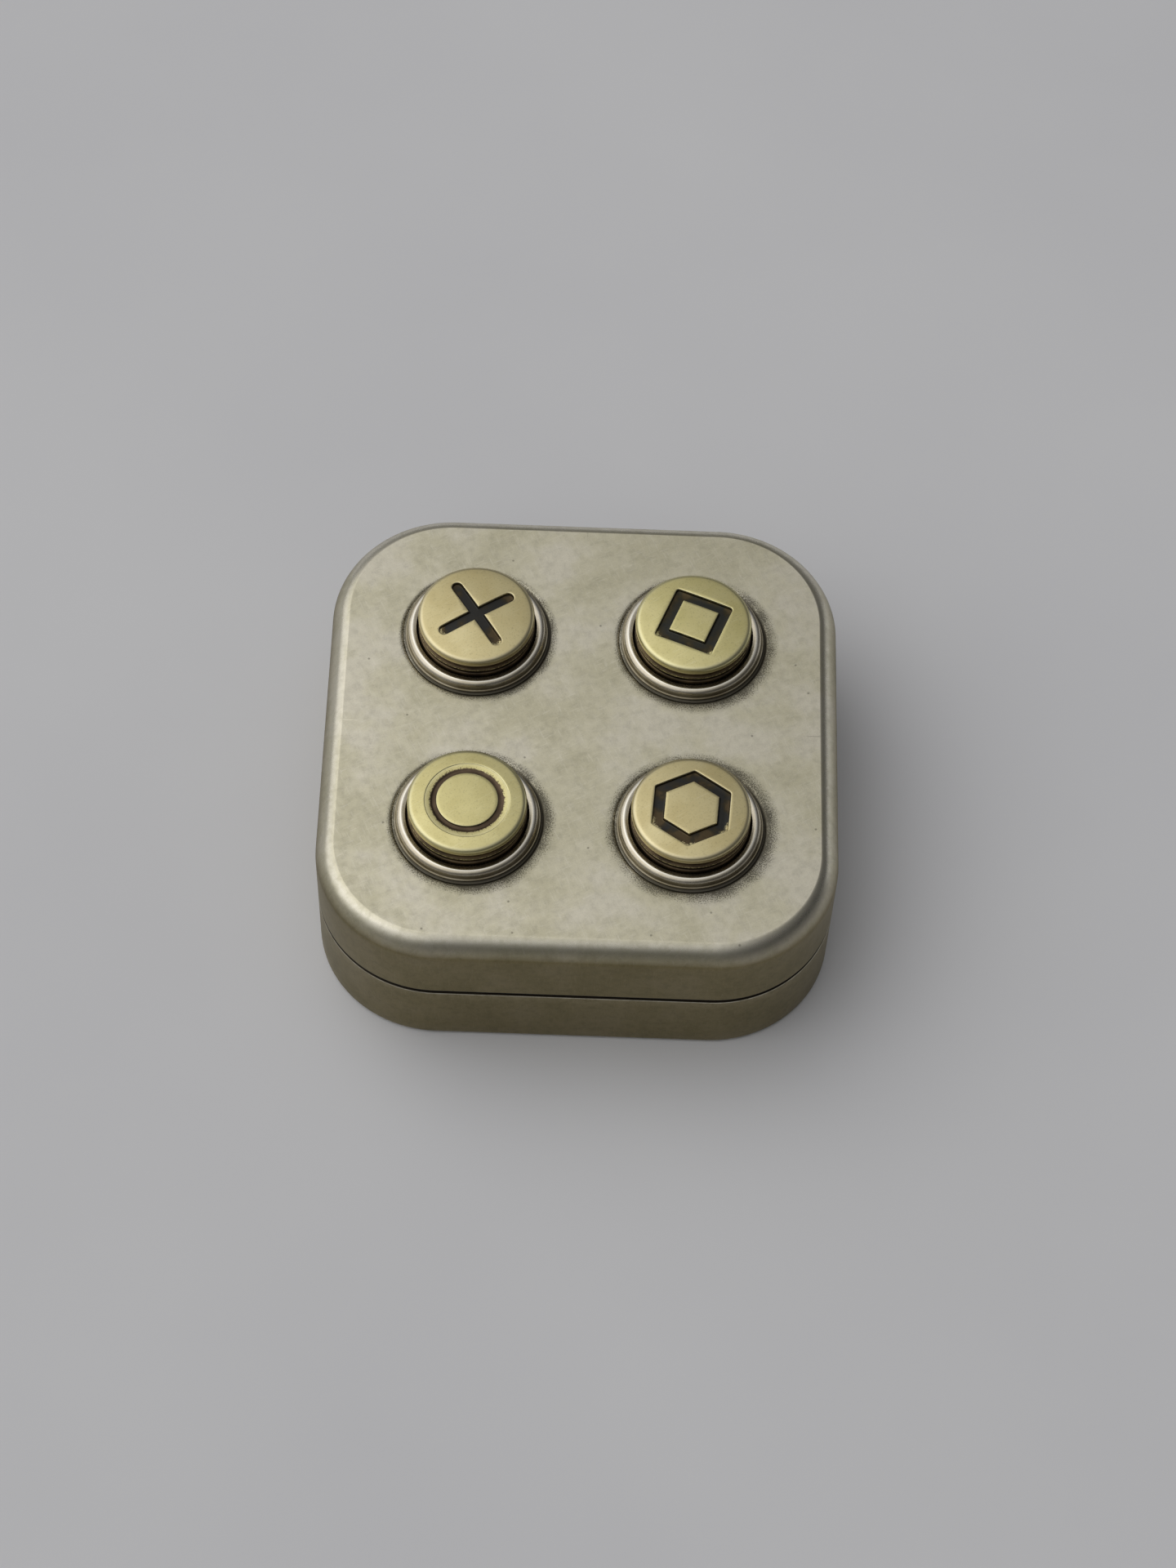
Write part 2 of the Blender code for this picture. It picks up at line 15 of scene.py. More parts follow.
import bmesh
import bpy
import numpy as np
from mathutils import Euler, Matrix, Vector


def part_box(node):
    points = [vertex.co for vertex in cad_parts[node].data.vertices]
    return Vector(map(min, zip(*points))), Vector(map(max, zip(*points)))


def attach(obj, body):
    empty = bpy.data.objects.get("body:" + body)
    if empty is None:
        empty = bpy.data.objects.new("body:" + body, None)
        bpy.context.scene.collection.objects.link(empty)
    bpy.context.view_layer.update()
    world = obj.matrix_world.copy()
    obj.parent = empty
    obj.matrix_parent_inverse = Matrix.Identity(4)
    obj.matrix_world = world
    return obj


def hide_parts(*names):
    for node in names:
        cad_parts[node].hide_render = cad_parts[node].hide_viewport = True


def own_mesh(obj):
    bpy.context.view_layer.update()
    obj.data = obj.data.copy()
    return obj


MM = 0.001
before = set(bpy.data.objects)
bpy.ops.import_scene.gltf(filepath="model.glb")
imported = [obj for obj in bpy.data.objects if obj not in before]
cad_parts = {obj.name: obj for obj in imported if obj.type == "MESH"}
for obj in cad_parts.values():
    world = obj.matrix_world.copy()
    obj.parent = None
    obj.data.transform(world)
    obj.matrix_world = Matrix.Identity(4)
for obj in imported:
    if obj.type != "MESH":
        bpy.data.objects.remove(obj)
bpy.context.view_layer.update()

# %% [markdown]
# ## Sizes
#
# Most of the sizes below are read from the boxes of the CAD parts, so the finished pieces can't drift
# away from them. The rest are the small shapes that a plain CAD part leaves out: edge breaks, grooves
# and lips of a few hundredths of a millimetre. Everything is in millimetres until a mesh is made.


# %% Read the main sizes
def box_mm(node):
    """The lowest and highest corner of a CAD part: metres divided by MM."""
    low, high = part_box(node)
    return np.array(low) / MM, np.array(high) / MM


def middle_mm(node):
    """Where the axis of a CAD part stands: half the sum of its two corners, in x and y."""
    low, high = box_mm(node)
    return (low[:2] + high[:2]) / 2


TOP_LOW, TOP_HIGH = box_mm("top_shell")
HALF = TOP_HIGH[0]
FACE = TOP_HIGH[2]  # height of the flat top face
RIM = box_mm("base_shell")[1][2]  # height of the base's rim, just under the seam
CORNER = 9.5
KINDS = ("plus", "square", "ring", "hexagon")
print("half width", HALF, "face", FACE, "seam", RIM, TOP_LOW[2])

# %% [markdown]
# ## From a grid of points to a closed mesh
#
# Every new piece is a grid: a rows by columns array of points, whose neighbours make the quads. The
# ends of a turned part are rows whose points all fall together. Merging the points that coincide closes
# poles and seams in one go, and the faces are turned outwards after that.


# %% The mesh helpers
def grid_quads(rows, columns, wrap_columns=True, wrap_rows=False):
    """Quad (r, c) joins points (r, c), (r, c+1), (r+1, c+1) and (r+1, c), numbered row by row."""
    row_count = rows if wrap_rows else rows - 1
    column_count = columns if wrap_columns else columns - 1
    r, c = np.meshgrid(np.arange(row_count), np.arange(column_count), indexing="ij")
    r_next = (r + 1) % rows
    c_next = (c + 1) % columns
    corners = [r * columns + c, r * columns + c_next, r_next * columns + c_next, r_next * columns + c]
    return np.stack(corners, axis=-1).reshape(-1, 4)


def new_object(name, data):
    """Puts a mesh, a light or a camera in the scene, at the origin."""
    made = bpy.data.objects.new(name, data)
    bpy.context.scene.collection.objects.link(made)
    return made


# %% From grids to a piece
MERGE = 0.0006  # points closer than this are one point


def piece(name, grids, material, body, node, smooth_deg=32.0):
    """Joins grids of points into one closed object that rides on a body and stands for a CAD part.

    grids is a list of (points, wrap columns, wrap rows), with points in millimetres.
    """
    all_points, all_quads, count = [], [], 0
    for points, wrap_columns, wrap_rows in grids:
        rows, columns = points.shape[:2]
        all_quads.append(grid_quads(rows, columns, wrap_columns, wrap_rows) + count)
        all_points.append(points.reshape(-1, 3))
        count += rows * columns
    mesh = bpy.data.meshes.new(name)
    mesh.from_pydata((np.concatenate(all_points) * MM).tolist(), [], np.concatenate(all_quads).tolist())
    work = bmesh.new()
    work.from_mesh(mesh)
    bmesh.ops.remove_doubles(work, verts=work.verts, dist=MERGE * MM)
    bmesh.ops.recalc_face_normals(work, faces=work.faces)
    open_edges = sum(len(e.link_faces) != 2 for e in work.edges)
    volume = work.calc_volume(signed=True)
    if volume < 0:
        bmesh.ops.reverse_faces(work, faces=work.faces)
    work.to_mesh(mesh)
    work.free()
    mesh.shade_smooth()
    mesh.set_sharp_from_angle(angle=math.radians(smooth_deg))
    mesh.materials.append(material)
    made = new_object(name, mesh)
    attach(made, body)
    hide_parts(node)
    cubic_mm = volume / MM ** 3
    print(f"{name}: {len(mesh.polygons)} faces, open edges {open_edges}, volume {cubic_mm:.1f} mm3")
    return made


print("quads of a closed 3 by 4 grid:", len(grid_quads(3, 4)))

# %% [markdown]
# ## Two ways to shape a grid
#
# A **turned** surface carries a profile of (radius, height) round an axis, as a lathe does. The angles
# needn't be even, which gives the face of a button extra columns where its mark has a corner.
#
# An **outline** surface stacks rounded squares, each inset a little from the last. The insets and
# heights together are the section through the wall of a casing.


# %% Turned surfaces
def even_angles(count):
    """Angles spaced evenly round a circle: number x 2 pi / count."""
    return np.arange(count) * 2 * np.pi / count


def round_axis(centre, radius, angles, height):
    """Points (cx + r cos a, cy + r sin a, z); a radius or height may be one value or one for each."""
    x = centre[0] + radius * np.cos(angles)
    y = centre[1] + radius * np.sin(angles)
    return np.stack([x, y, np.broadcast_to(height, x.shape)], axis=-1)


def turned(profile, centre, angles):
    """Rows follow the profile of (radius, height), and columns go round the axis."""
    profile = np.asarray(profile, float)
    return round_axis(centre, profile[:, :1], angles, profile[:, 1:])


def arc_profile(centre, radii, start_deg, end_deg, steps):
    """Part of an ellipse in a section: centre + (r1 cos a, r2 sin a), from start to end angle."""
    a = np.radians(np.linspace(start_deg, end_deg, steps))
    return np.stack([centre[0] + radii[0] * np.cos(a), centre[1] + radii[1] * np.sin(a)], axis=-1)


# %% Rounded outlines
def rounded_square(inset, straight_steps=24, arc_steps=26):
    """The casing's outline moved inwards: four straights, and four arcs of corner radius less inset."""
    t = np.linspace(-1, 1, straight_steps, endpoint=False) * (HALF - CORNER)
    a = np.linspace(0, np.pi / 2, arc_steps, endpoint=False)
    reach = HALF - inset
    side = np.stack([np.full_like(t, reach), t], axis=-1)
    arc = HALF - CORNER + (CORNER - inset) * np.stack([np.cos(a), np.sin(a)], axis=-1)
    quarter = np.concatenate([side, arc])
    turns = [quarter]
    for _ in range(3):
        last = turns[-1]
        turns.append(np.stack([-last[:, 1], last[:, 0]], axis=-1))
    return np.concatenate(turns)


print("points round the casing's outline:", len(rounded_square(0.0)))

# %% [markdown]
# ## Colours and nodes
#
# A colour is written as the hex value seen on a screen, and one function turns it into the linear
# light that a shader works with. One more function adds a node, sets it up and links it, so each
# material below reads as a list of steps.


# %% Colour and node helpers
def linear(hex_color):
    """sRGB hex to linear RGBA: up to 0.04045 a straight line, above it the 2.4 power curve."""
    parts = [int(hex_color[k:k + 2], 16) / 255 for k in (1, 3, 5)]
    return (*[p / 12.92 if p <= 0.04045 else ((p + 0.055) / 1.055) ** 2.4 for p in parts], 1.0)


def add(owner, kind, inputs=(), output=0, stops=(), **settings):
    """Adds one node with its settings, fills or links its inputs, and returns one of its outputs.

    kind may name an operation after a space. inputs are a list from the first socket on, or pairs
    of socket and value. stops are a ramp's (position, hex colour or grey level), from low to high.
    """
    tree = owner.node_tree
    kind, _, operation = kind.partition(" ")
    made = tree.nodes.new("ShaderNode" + kind)
    if operation:
        made.operation = operation
    for key, value in settings.items():
        setattr(made, key, value)
    for socket, value in inputs.items() if isinstance(inputs, dict) else enumerate(inputs):
        if isinstance(value, bpy.types.NodeSocket):
            tree.links.new(value, made.inputs[socket])
        else:
            made.inputs[socket].default_value = value
    for _ in stops[2:]:
        made.color_ramp.elements.new(0.5)
    for number, (position, level) in enumerate(stops):
        element = made.color_ramp.elements[number]
        element.position = position
        element.color = linear(level) if isinstance(level, str) else (level, level, level, 1.0)
    return made.outputs[output]


# %% Starting and finishing a material
BLEND = {"data_type": "RGBA"}
MULTIPLY = {"data_type": "RGBA", "blend_type": "MULTIPLY"}
METAL = {"Metallic": 1.0}
BUMP_HEIGHT = 0.01 * MM


def new_material(name, constants):
    """A new material, its node adder, its shader with these constants, and object coordinates in mm."""
    material = bpy.data.materials.new(name)
    material.use_nodes = True
    shader = material.node_tree.nodes["Principled BSDF"]
    for socket, value in constants.items():
        shader.inputs[socket].default_value = value
    node = partial(add, material)
    place = node("TexCoord", output=3)
    in_mm = node("VectorMath SCALE", {0: place, "Scale": 1 / MM})
    return material, node, shader, in_mm


def surface(node, shader, color, roughness, height=None, strength=0.2):
    """Links a colour, a roughness and a bump of a hundredth of a millimetre to the shader."""
    links = shader.id_data.links
    links.new(color, shader.inputs["Base Color"])
    links.new(roughness, shader.inputs["Roughness"])
    if height is not None:
        bump = node("Bump", {"Strength": strength, "Distance": BUMP_HEIGHT, "Height": height})
        links.new(bump, shader.inputs["Normal"])


print("linear light of mid grey:", round(linear("#808080")[0], 3))

# %% [markdown]
# ## The casing metal: aged nickel silver
#
# Nickel silver is a copper alloy with nickel and zinc. It is a warm grey when new. This one has been
# tumbled and rubbed down, then darkened with a patina that was wiped off again. So the top face is a
# mottled satin grey with fine random scratches. The walls are browner and darker, partly by patina and
# partly by painted shade for the dark floor they mirror. It is nearly black round the foot of each
# collar, where a cloth can't reach the patina, and in the seam, where the dark is painted shade.
#
# The stain round a collar is a stipple. A fine noise is compared with a level that rises towards the
# collar, so the dots crowd together and join up at its foot. The dark is shifted and stretched out to
# the front right of each collar, as painted shadow of the collar.


# %% Stain and painted shadow round the collars
BUTTON_OFFSET = 8.5
SHADOW_DRIFT = (0.16, -0.14, 0.0)  # painted shadow: the stain lies a little to the right of each collar and in front of it
STAIN_FULL = 5.65
STAIN_AND_SHADOW_REACH = (6.4, 7.05)  # at the back left, and at the front right, where the longer reach is painted shadow


def axis_distance(node, in_mm, drift=(0.0, 0.0, 0.0)):
    """Distance from the nearest button's axis: length of (|x| - offset, |y| - offset), all in mm."""
    moved = node("VectorMath SUBTRACT", [in_mm, drift])
    folded = node("VectorMath ABSOLUTE", [moved])
    to_axis = node("VectorMath SUBTRACT", [folded, (BUTTON_OFFSET, BUTTON_OFFSET, 0)])
    flat = node("VectorMath MULTIPLY", [to_axis, (1, 1, 0)])
    return node("VectorMath LENGTH", [flat], output=1)


def collar_stain_and_shadow(node, in_mm, fine):
    """0 on clean metal and 1 in the patina at a foot: the largest of stipple, haze and foot, shifted and
    stretched to the front right as painted shadow of the collar.
    """
    x = node("SeparateXYZ", [in_mm])
    y = node("SeparateXYZ", [in_mm], 1)
    # painted shadow: the stained ring reaches further out towards the front right
    to_right_and_front = node("Math SUBTRACT", [x, y])
    reach = node("MapRange", [to_right_and_front, -12.0, 17.0, STAIN_AND_SHADOW_REACH[0], STAIN_AND_SHADOW_REACH[1]])
    distance = axis_distance(node, in_mm, SHADOW_DRIFT)
    near = node("MapRange", [distance, reach, STAIN_FULL])
    uneven = node("TexNoise", {"Vector": in_mm, "Scale": 0.45, "Detail": 2.0})
    uneven = node("MapRange", [uneven, 0.35, 0.65, 0.6, 1.1])
    near = node("Math MULTIPLY", [near, uneven])
    level = node("Math MULTIPLY_ADD", [near, 0.42, fine])
    dots = node("MapRange", [level, 0.58, 0.8, 0.0, 0.82])
    shown = node("MapRange", [near, 0.0, 0.25])
    dots = node("Math MULTIPLY", [dots, shown])
    haze = node("Math POWER", [near, 2.0])
    haze = node("Math MULTIPLY", [haze, 0.6])
    foot = node("MapRange", [distance, 5.9, 5.68, 0.0, 0.9])
    both = node("Math MAXIMUM", [dots, haze])
    return node("Math MAXIMUM", [both, foot])


# %% Nickel silver
def nickel_silver(name, with_collars):
    """Grey metal x clouds x mottle x grain, then scratches, walls darker by patina and painted shade,
    rubbed edges and painted edge highlights, and stains with painted shade and shadow.
    """
    material, node, shader, in_mm = new_material(name, METAL)
    clouds = node("TexNoise", {"Vector": in_mm, "Scale": 0.2, "Detail": 4.0, "Roughness": 0.55})
    mottle = node("TexNoise", {"Vector": in_mm, "Scale": 1.5, "Detail": 6.0, "Roughness": 0.7})
    fine = node("TexNoise", {"Vector": in_mm, "Scale": 10.0, "Detail": 2.0, "Roughness": 0.8})
    color = node("ValToRGB", [clouds], stops=[(0.38, "#C9C3A9"), (0.5, "#D2CCB4"), (0.62, "#D8D2BF")])
    tint = node("ValToRGB", [mottle], stops=[(0.36, 0.87), (0.5, 0.97), (0.64, 1.02)])
    color = node("Mix", {0: 0.9, 6: color, 7: tint}, 2, **MULTIPLY)
    grain = node("ValToRGB", [fine], stops=[(0.34, 0.8), (0.5, 1.0)])
    color = node("Mix", {0: 0.4, 6: color, 7: grain}, 2, **MULTIPLY)

    # two sets of short scratches: each lump of the noise is pulled out to a millimetre by a tenth
    scratched = None
    for turn in (0.5, 2.0):
        along = node("Mapping", {0: in_mm, 2: (0, 0, turn), 3: (1.1, 0.13, 1.1)}, vector_type="TEXTURE")
        lines = node("TexNoise", {"Vector": along, "Scale": 1.0, "Detail": 3.0, "Roughness": 0.65})
        lines = node("MapRange", [lines, 0.56, 0.72, 0.0, 0.35])
        if scratched is not None:
            lines = node("Math MAXIMUM", [scratched, lines])
        scratched = lines
    color = node("Mix", {0: scratched, 6: color, 7: linear("#E6E1D2")}, 2, **BLEND)

    # the walls are browner and darker: partly a patina wiped less than on the top, partly painted shade
    # for the dark floor that the walls mirror
    z = node("SeparateXYZ", [in_mm], 2)
    lower = node("MapRange", [z, FACE - 0.4, FACE - 1.5])
    brown = node("ValToRGB", [mottle], stops=[(0.35, "#A39B83"), (0.6, "#A79F87")])
    color = node("Mix", {0: lower, 6: color, 7: brown}, 2, **MULTIPLY)

    # the stored value lightens rubbed edges, and paints a highlight on the base's rim edge
    rub_and_highlight = node("Attribute", output=2, attribute_name="rub_and_highlight")
    patchy = node("ValToRGB", [mottle], stops=[(0.35, 0.45), (0.6, 1.0)])
    rub_and_highlight = node("Math MULTIPLY", [rub_and_highlight, patchy])
    color = node("Mix", {0: rub_and_highlight, 6: color, 7: linear("#E4DFCF")}, 2, **BLEND)
    rough = node("MapRange", [mottle, 0.3, 0.7, 0.38, 0.3])
    rough = node("Mix", {0: lower, 2: rough, 3: 0.46})
    rough = node("Mix", {0: rub_and_highlight, 2: rough, 3: 0.24})
    # the stored value darkens the colour for patina and for painted shade along the seam
    stain_and_shade = node("Attribute", output=2, attribute_name="patina_and_shade")
    if with_collars:
        # dark pits, a few to the square centimetre
        pit = node("TexVoronoi", {"Vector": in_mm, "Scale": 0.12}, voronoi_dimensions="2D")
        pit = node("MapRange", [pit, 0.014, 0.007, 0.0, 0.45])
        collars = collar_stain_and_shadow(node, in_mm, fine)
        collars = node("Math MAXIMUM", [collars, pit])
        on_top = node("MapRange", [z, FACE - 0.5, FACE - 0.3])
        collars = node("Math MULTIPLY", [collars, on_top])
        stain_and_shade = node("Math MAXIMUM", [stain_and_shade, collars])
    # the dark here is patina, stains and pits, with painted shade along the seam and painted shadow
    # round the collars
    color = node("Mix", {0: stain_and_shade, 6: color, 7: linear("#37322A")}, 2, **BLEND)
    rough = node("Mix", {0: stain_and_shade, 2: rough, 3: 0.5})
    height = node("Math MULTIPLY_ADD", [fine, 0.5, mottle])
    surface(node, shader, color, rough, height, 0.14)
    return material


casing_top_metal = nickel_silver("nickel silver, tumbled, stained round the collars", with_collars=True)
casing_base_metal = nickel_silver("nickel silver, tumbled", with_collars=False)
print("materials:", len(bpy.data.materials))

# %% [markdown]
# ## Collars and buttons
#
# The collars are turned steel, polished on the rim with a painted highlight along its crest, and darker
# towards the foot, partly by staining and partly by painted shade and reflection. The buttons are satin
# brass. The face is rubbed bright, while the patina stays in the engraved mark and in the undercut below
# the head. In the mark it is blue-black in the middle and brown towards the ends, where fingers wear it.
# Two stored values tell the material where a surface is made brighter, by wear and by painted
# highlights, and where it is made darker, by patina and by painted shade.


# %% Collar steel
def collar_steel():
    """Steel x clouds x grain, darker towards the foot by staining and painted shade, with a painted
    highlight where the stored value for rubbing and highlights is 1.
    """
    material, node, shader, in_mm = new_material("stainless steel, turned and polished", METAL)
    z = node("SeparateXYZ", [in_mm], 2)
    clouds = node("TexNoise", {"Vector": in_mm, "Scale": 0.5, "Detail": 4.0, "Roughness": 0.6})
    fine = node("TexNoise", {"Vector": in_mm, "Scale": 6.0, "Detail": 2.0, "Roughness": 0.7})
    color = node("ValToRGB", [clouds], stops=[(0.38, "#C4BAA4"), (0.62, "#D2CAB8")])
    tint = node("ValToRGB", [fine], stops=[(0.32, 0.7), (0.5, 1.0)])
    color = node("Mix", {0: 0.3, 6: color, 7: tint}, 2, **MULTIPLY)
    # darker and olive towards the foot: partly staining at the joint, partly painted shade and painted
    # reflection of the warm plate on the outer slope
    foot = node("MapRange", [z, FACE + 0.68, FACE + 0.16, 0.0, 0.75], interpolation_type="SMOOTHSTEP")
    patchy = node("ValToRGB", [clouds], stops=[(0.35, 1.0), (0.65, 0.7)])
    foot = node("Math MULTIPLY", [foot, patchy])
    color = node("Mix", {0: foot, 6: color, 7: linear("#766C52")}, 2, **BLEND)
    # painted highlight: a near-white line along the polished crest of the ring
    crest_painted_highlight = node("Attribute", output=2, attribute_name="rub_and_highlight")
    color = node("Mix", {0: crest_painted_highlight, 6: color, 7: linear("#F4F1E8")}, 2, **BLEND)
    rough = node("MapRange", [clouds, 0.3, 0.7, 0.22, 0.3])
    rough = node("Mix", {0: foot, 2: rough, 3: 0.4})
    rough = node("Mix", {0: crest_painted_highlight, 2: rough, 3: 0.12})
    surface(node, shader, color, rough)
    return material


collar_metal = collar_steel()
print("made", collar_metal.name)


# %% Button brass
def button_brass(name, deep, bright, rubbed, patina_tones):
    """Brass in two tones, with a dark patina in the mark and a brown one below the head."""
    material, node, shader, in_mm = new_material(name, METAL)
    clouds = node("TexNoise", {"Vector": in_mm, "Scale": 0.45, "Detail": 3.0, "Roughness": 0.5})
    fine = node("TexNoise", {"Vector": in_mm, "Scale": 7.0, "Detail": 3.0, "Roughness": 0.75})
    color = node("ValToRGB", [clouds], stops=[(0.3, deep), (0.7, bright)])
    tint = node("ValToRGB", [fine], stops=[(0.33, 0.35), (0.45, 1.0)])
    color = node("Mix", {0: 0.3, 6: color, 7: tint}, 2, **MULTIPLY)
    along = node("Mapping", {0: in_mm, 2: (0, 0, 0.6), 3: (1.4, 0.1, 1.0)}, vector_type="TEXTURE")
    lines = node("TexNoise", {"Vector": along, "Scale": 1.0, "Detail": 2.0, "Roughness": 0.6})
    lines = node("MapRange", [lines, 0.6, 0.74, 0.0, 0.25])
    color = node("Mix", {0: lines, 6: color, 7: linear(rubbed)}, 2, **BLEND)
    rub_and_highlight = node("Attribute", output=2, attribute_name="rub_and_highlight")
    color = node("Mix", {0: rub_and_highlight, 6: color, 7: linear(rubbed)}, 2, **BLEND)

    # the edge of the patina is ragged, because a fine noise is added before it is cut off
    patina_and_shade = node("Attribute", output=2, attribute_name="patina_and_shade")
    ragged = node("MapRange", [fine, 0.3, 0.7, -0.28, 0.28])
    dark = node("Math ADD", [patina_and_shade, ragged])
    dark = node("MapRange", [dark, 0.38, 0.62, 0.0, 0.95])
    tone = node("TexNoise", {"Vector": in_mm, "Scale": 0.8, "Detail": 3.0})
    outwards = node("MapRange", [axis_distance(node, in_mm), 0.6, 3.2, 0.12, -0.1])
    tone = node("Math ADD", [tone, outwards])
    patina = node("ValToRGB", [tone], stops=patina_tones)
    z = node("SeparateXYZ", [in_mm], 2)
    below = node("MapRange", [z, FACE + 2.2, FACE + 2.1])
    umber = node("ValToRGB", [clouds], stops=[(0.38, "#3B302B"), (0.62, "#6B5A46")])
    patina = node("Mix", {0: below, 6: patina, 7: umber}, 2, **BLEND)
    color = node("Mix", {0: dark, 6: color, 7: patina}, 2, **BLEND)
    rough = node("MapRange", [clouds, 0.3, 0.7, 0.36, 0.3])
    rough = node("Mix", {0: dark, 2: rough, 3: 0.42})
    surface(node, shader, color, rough, fine, 0.25)
    return material


# %% The three brasses
blue_black = [(0.34, "#46392B"), (0.42, "#2B2623"), (0.54, "#191F2B")]
plum_brown = [(0.3, "#5C4A40"), (0.6, "#43342F")]
warm_brass = button_brass("brass, satin, warm", "#CFC08E", "#D8CB9C", "#EFE5C2", blue_black)
green_brass = button_brass("brass, satin, greenish", "#D2C88C", "#DED49C", "#F3EEC6", blue_black)
ring_brass = button_brass(
    "brass, satin, greenish, worn patina", "#D2C78C", "#DED49B", "#F3EEC6", plum_brown,
)
print("materials:", len(bpy.data.materials))

# %% [markdown]
# ## The four marks as distances along a ray
#
# Each button carries an engraved mark: a plus, a square, a ring or a hexagon. Seen from the middle of
# the face, every ray crosses the mark's outline once, so the outline is a radius for each angle. That
# makes the whole face one grid: its columns are rays, and its rows step inwards from the rim, down the
# wall of the cut, along its floor and up onto the island. Growing or shrinking the outline by a few
# hundredths gives the rows that round its lip.


# %% Outlines of the marks
MARK_REACH = 3.35
MARK_STROKE = 0.88
POLYGON_SIDES = {"square": 4, "hexagon": 6}
RING_OUTER = 2.75
RING_ISLAND = 2.35


def polygon_radius(angles, sides, inradius, corner):
    """Ray length to a rounded polygon: inradius / cos, or the far root of a corner's circle."""
    half_sector = np.pi / sides
    delta = np.abs((angles + half_sector) % (2 * half_sector) - half_sector)
    flat_end = np.arctan2((inradius - corner) * np.tan(half_sector), inradius)
    corner_at = (inradius - corner) / np.cos(half_sector)
    gamma = half_sector - delta
    under_root = np.maximum(corner ** 2 - (corner_at * np.sin(gamma)) ** 2, 0)
    on_corner = corner_at * np.cos(gamma) + np.sqrt(under_root)
    return np.where(delta <= flat_end, inradius / np.cos(delta), on_corner)


def plus_radius(angles, half_width, cap_at):
    """Ray length to a plus with round ends: half width / sin beside an arm, a circle at its tip."""
    delta = np.abs((angles + np.pi / 4) % (np.pi / 2) - np.pi / 4)
    under_root = np.maximum(half_width ** 2 - (cap_at * np.sin(delta)) ** 2, 0)
    at_tip = cap_at * np.cos(delta) + np.sqrt(under_root)
    beside = half_width / np.maximum(np.sin(delta), 1e-9)
    return np.where(delta < np.arctan2(half_width, cap_at), at_tip, beside)


def mark_rays(kind):
    """The angles of the columns: even, but crowded where the outline turns."""
    if kind == "ring":
        return even_angles(144)
    if kind == "plus":
        half_width = MARK_STROKE / 2
        cap_at = MARK_REACH - half_width
        turn = np.linspace(-np.pi / 2, np.pi / 2, 15)
        tip = np.arctan2(half_width * np.sin(turn), cap_at + half_width * np.cos(turn))
        side = np.linspace(tip[-1], np.pi / 4, 17)[1:]
        arm = np.concatenate([-side[::-1], tip, side[:-1]])
        return np.concatenate([arm + k * np.pi / 2 for k in range(4)])
    sides = POLYGON_SIDES[kind]
    s = np.linspace(-1, 1, 216 // sides, endpoint=False)
    sector = (1.5 * s - 0.5 * s ** 3) * np.pi / sides
    return np.concatenate([sector + 2 * np.pi * k / sides for k in range(sides)])


def mark_outline(kind, angles, grow):
    """Radius of the mark's outer edge along each ray, grown by this many millimetres."""
    if kind == "plus":
        return plus_radius(angles, MARK_STROKE / 2 + grow, MARK_REACH - MARK_STROKE / 2)
    if kind == "ring":
        return np.full_like(angles, RING_OUTER + grow)
    sides = POLYGON_SIDES[kind]
    inradius = MARK_REACH * np.cos(np.pi / sides)
    return polygon_radius(angles, sides, inradius + grow, 0.24 + grow)


def island_outline(kind, angles, grow):
    """Radius of the island that is left standing inside the mark."""
    if kind == "ring":
        return np.full_like(angles, RING_ISLAND + grow)
    sides = POLYGON_SIDES[kind]
    inradius = MARK_REACH * np.cos(np.pi / sides) - MARK_STROKE
    return polygon_radius(angles, sides, inradius + grow, 0.06 + grow)


for kind in KINDS:
    print(kind, "reaches", round(mark_outline(kind, mark_rays(kind), 0.0).max(), 3), "mm out")

# %% [markdown]
# ## The buttons
#
# Below its face a button is a turned spool: a head with a rounded edge, a deep undercut, a second thin
# rim, a groove, and a barrel that runs down through the collar to the flange that stops it under the
# roof. Inside is the well for the spring. The engraved face and the spool share their columns, so the
# button is one closed skin.

# %% Section of a button
BUTTON_TOP = box_mm("button_plus")[1][2]
CROWN = 0.15  # the face is a shallow dome: its edge lies this much below its middle
BARREL = 4.56
SHOULDER = 4.13
FLANGE = 5.3
FLANGE_LOW = box_mm("button_plus")[0][2]
SPRING_WELL = 3.4
WELL_ROOF = BUTTON_TOP - 1.75


def spool_section():
    """(radius, height) from the edge of the face, over the head, down the barrel, back up the well."""
    edge = arc_profile((SHOULDER, BUTTON_TOP - CROWN - 0.34), (0.42, 0.34), 86, 0, 9)
    lower_edge = arc_profile((4.45, FACE + 2.16), (0.1, 0.1), 0, -90, 5)
    undercut = arc_profile((4.36, FACE + 1.8), (0.28, 0.25), 90, 270, 9)
    rim = arc_profile((4.38, FACE + 1.42), (0.13, 0.12), 90, -90, 9)
    groove = arc_profile((4.36, FACE + 1.19), (0.14, 0.1), 90, 270, 7)
    barrel_top = arc_profile((4.46, FACE + 0.98), (0.1, 0.1), 90, 0, 5)
    flange_top = FACE - 1.6
    inner = [
        (BARREL, FACE + 0.6), (BARREL, FACE - 0.5), (BARREL, flange_top + 0.02),
        (BARREL + 0.04, flange_top), (5.24, flange_top), (FLANGE, flange_top - 0.06),
        (FLANGE, FLANGE_LOW + 0.06), (5.24, FLANGE_LOW), (3.46, FLANGE_LOW),
        (SPRING_WELL, FLANGE_LOW + 0.06), (SPRING_WELL, BUTTON_TOP - 1.8), (3.35, WELL_ROOF),
        (1.5, WELL_ROOF), (0.0, WELL_ROOF),
    ]
    return np.concatenate([edge, lower_edge, undercut, rim, groove, barrel_top, inner])


print("points down a button's section:", len(spool_section()))

# %% Rows of the engraved face
MARK_DEPTH = 0.26


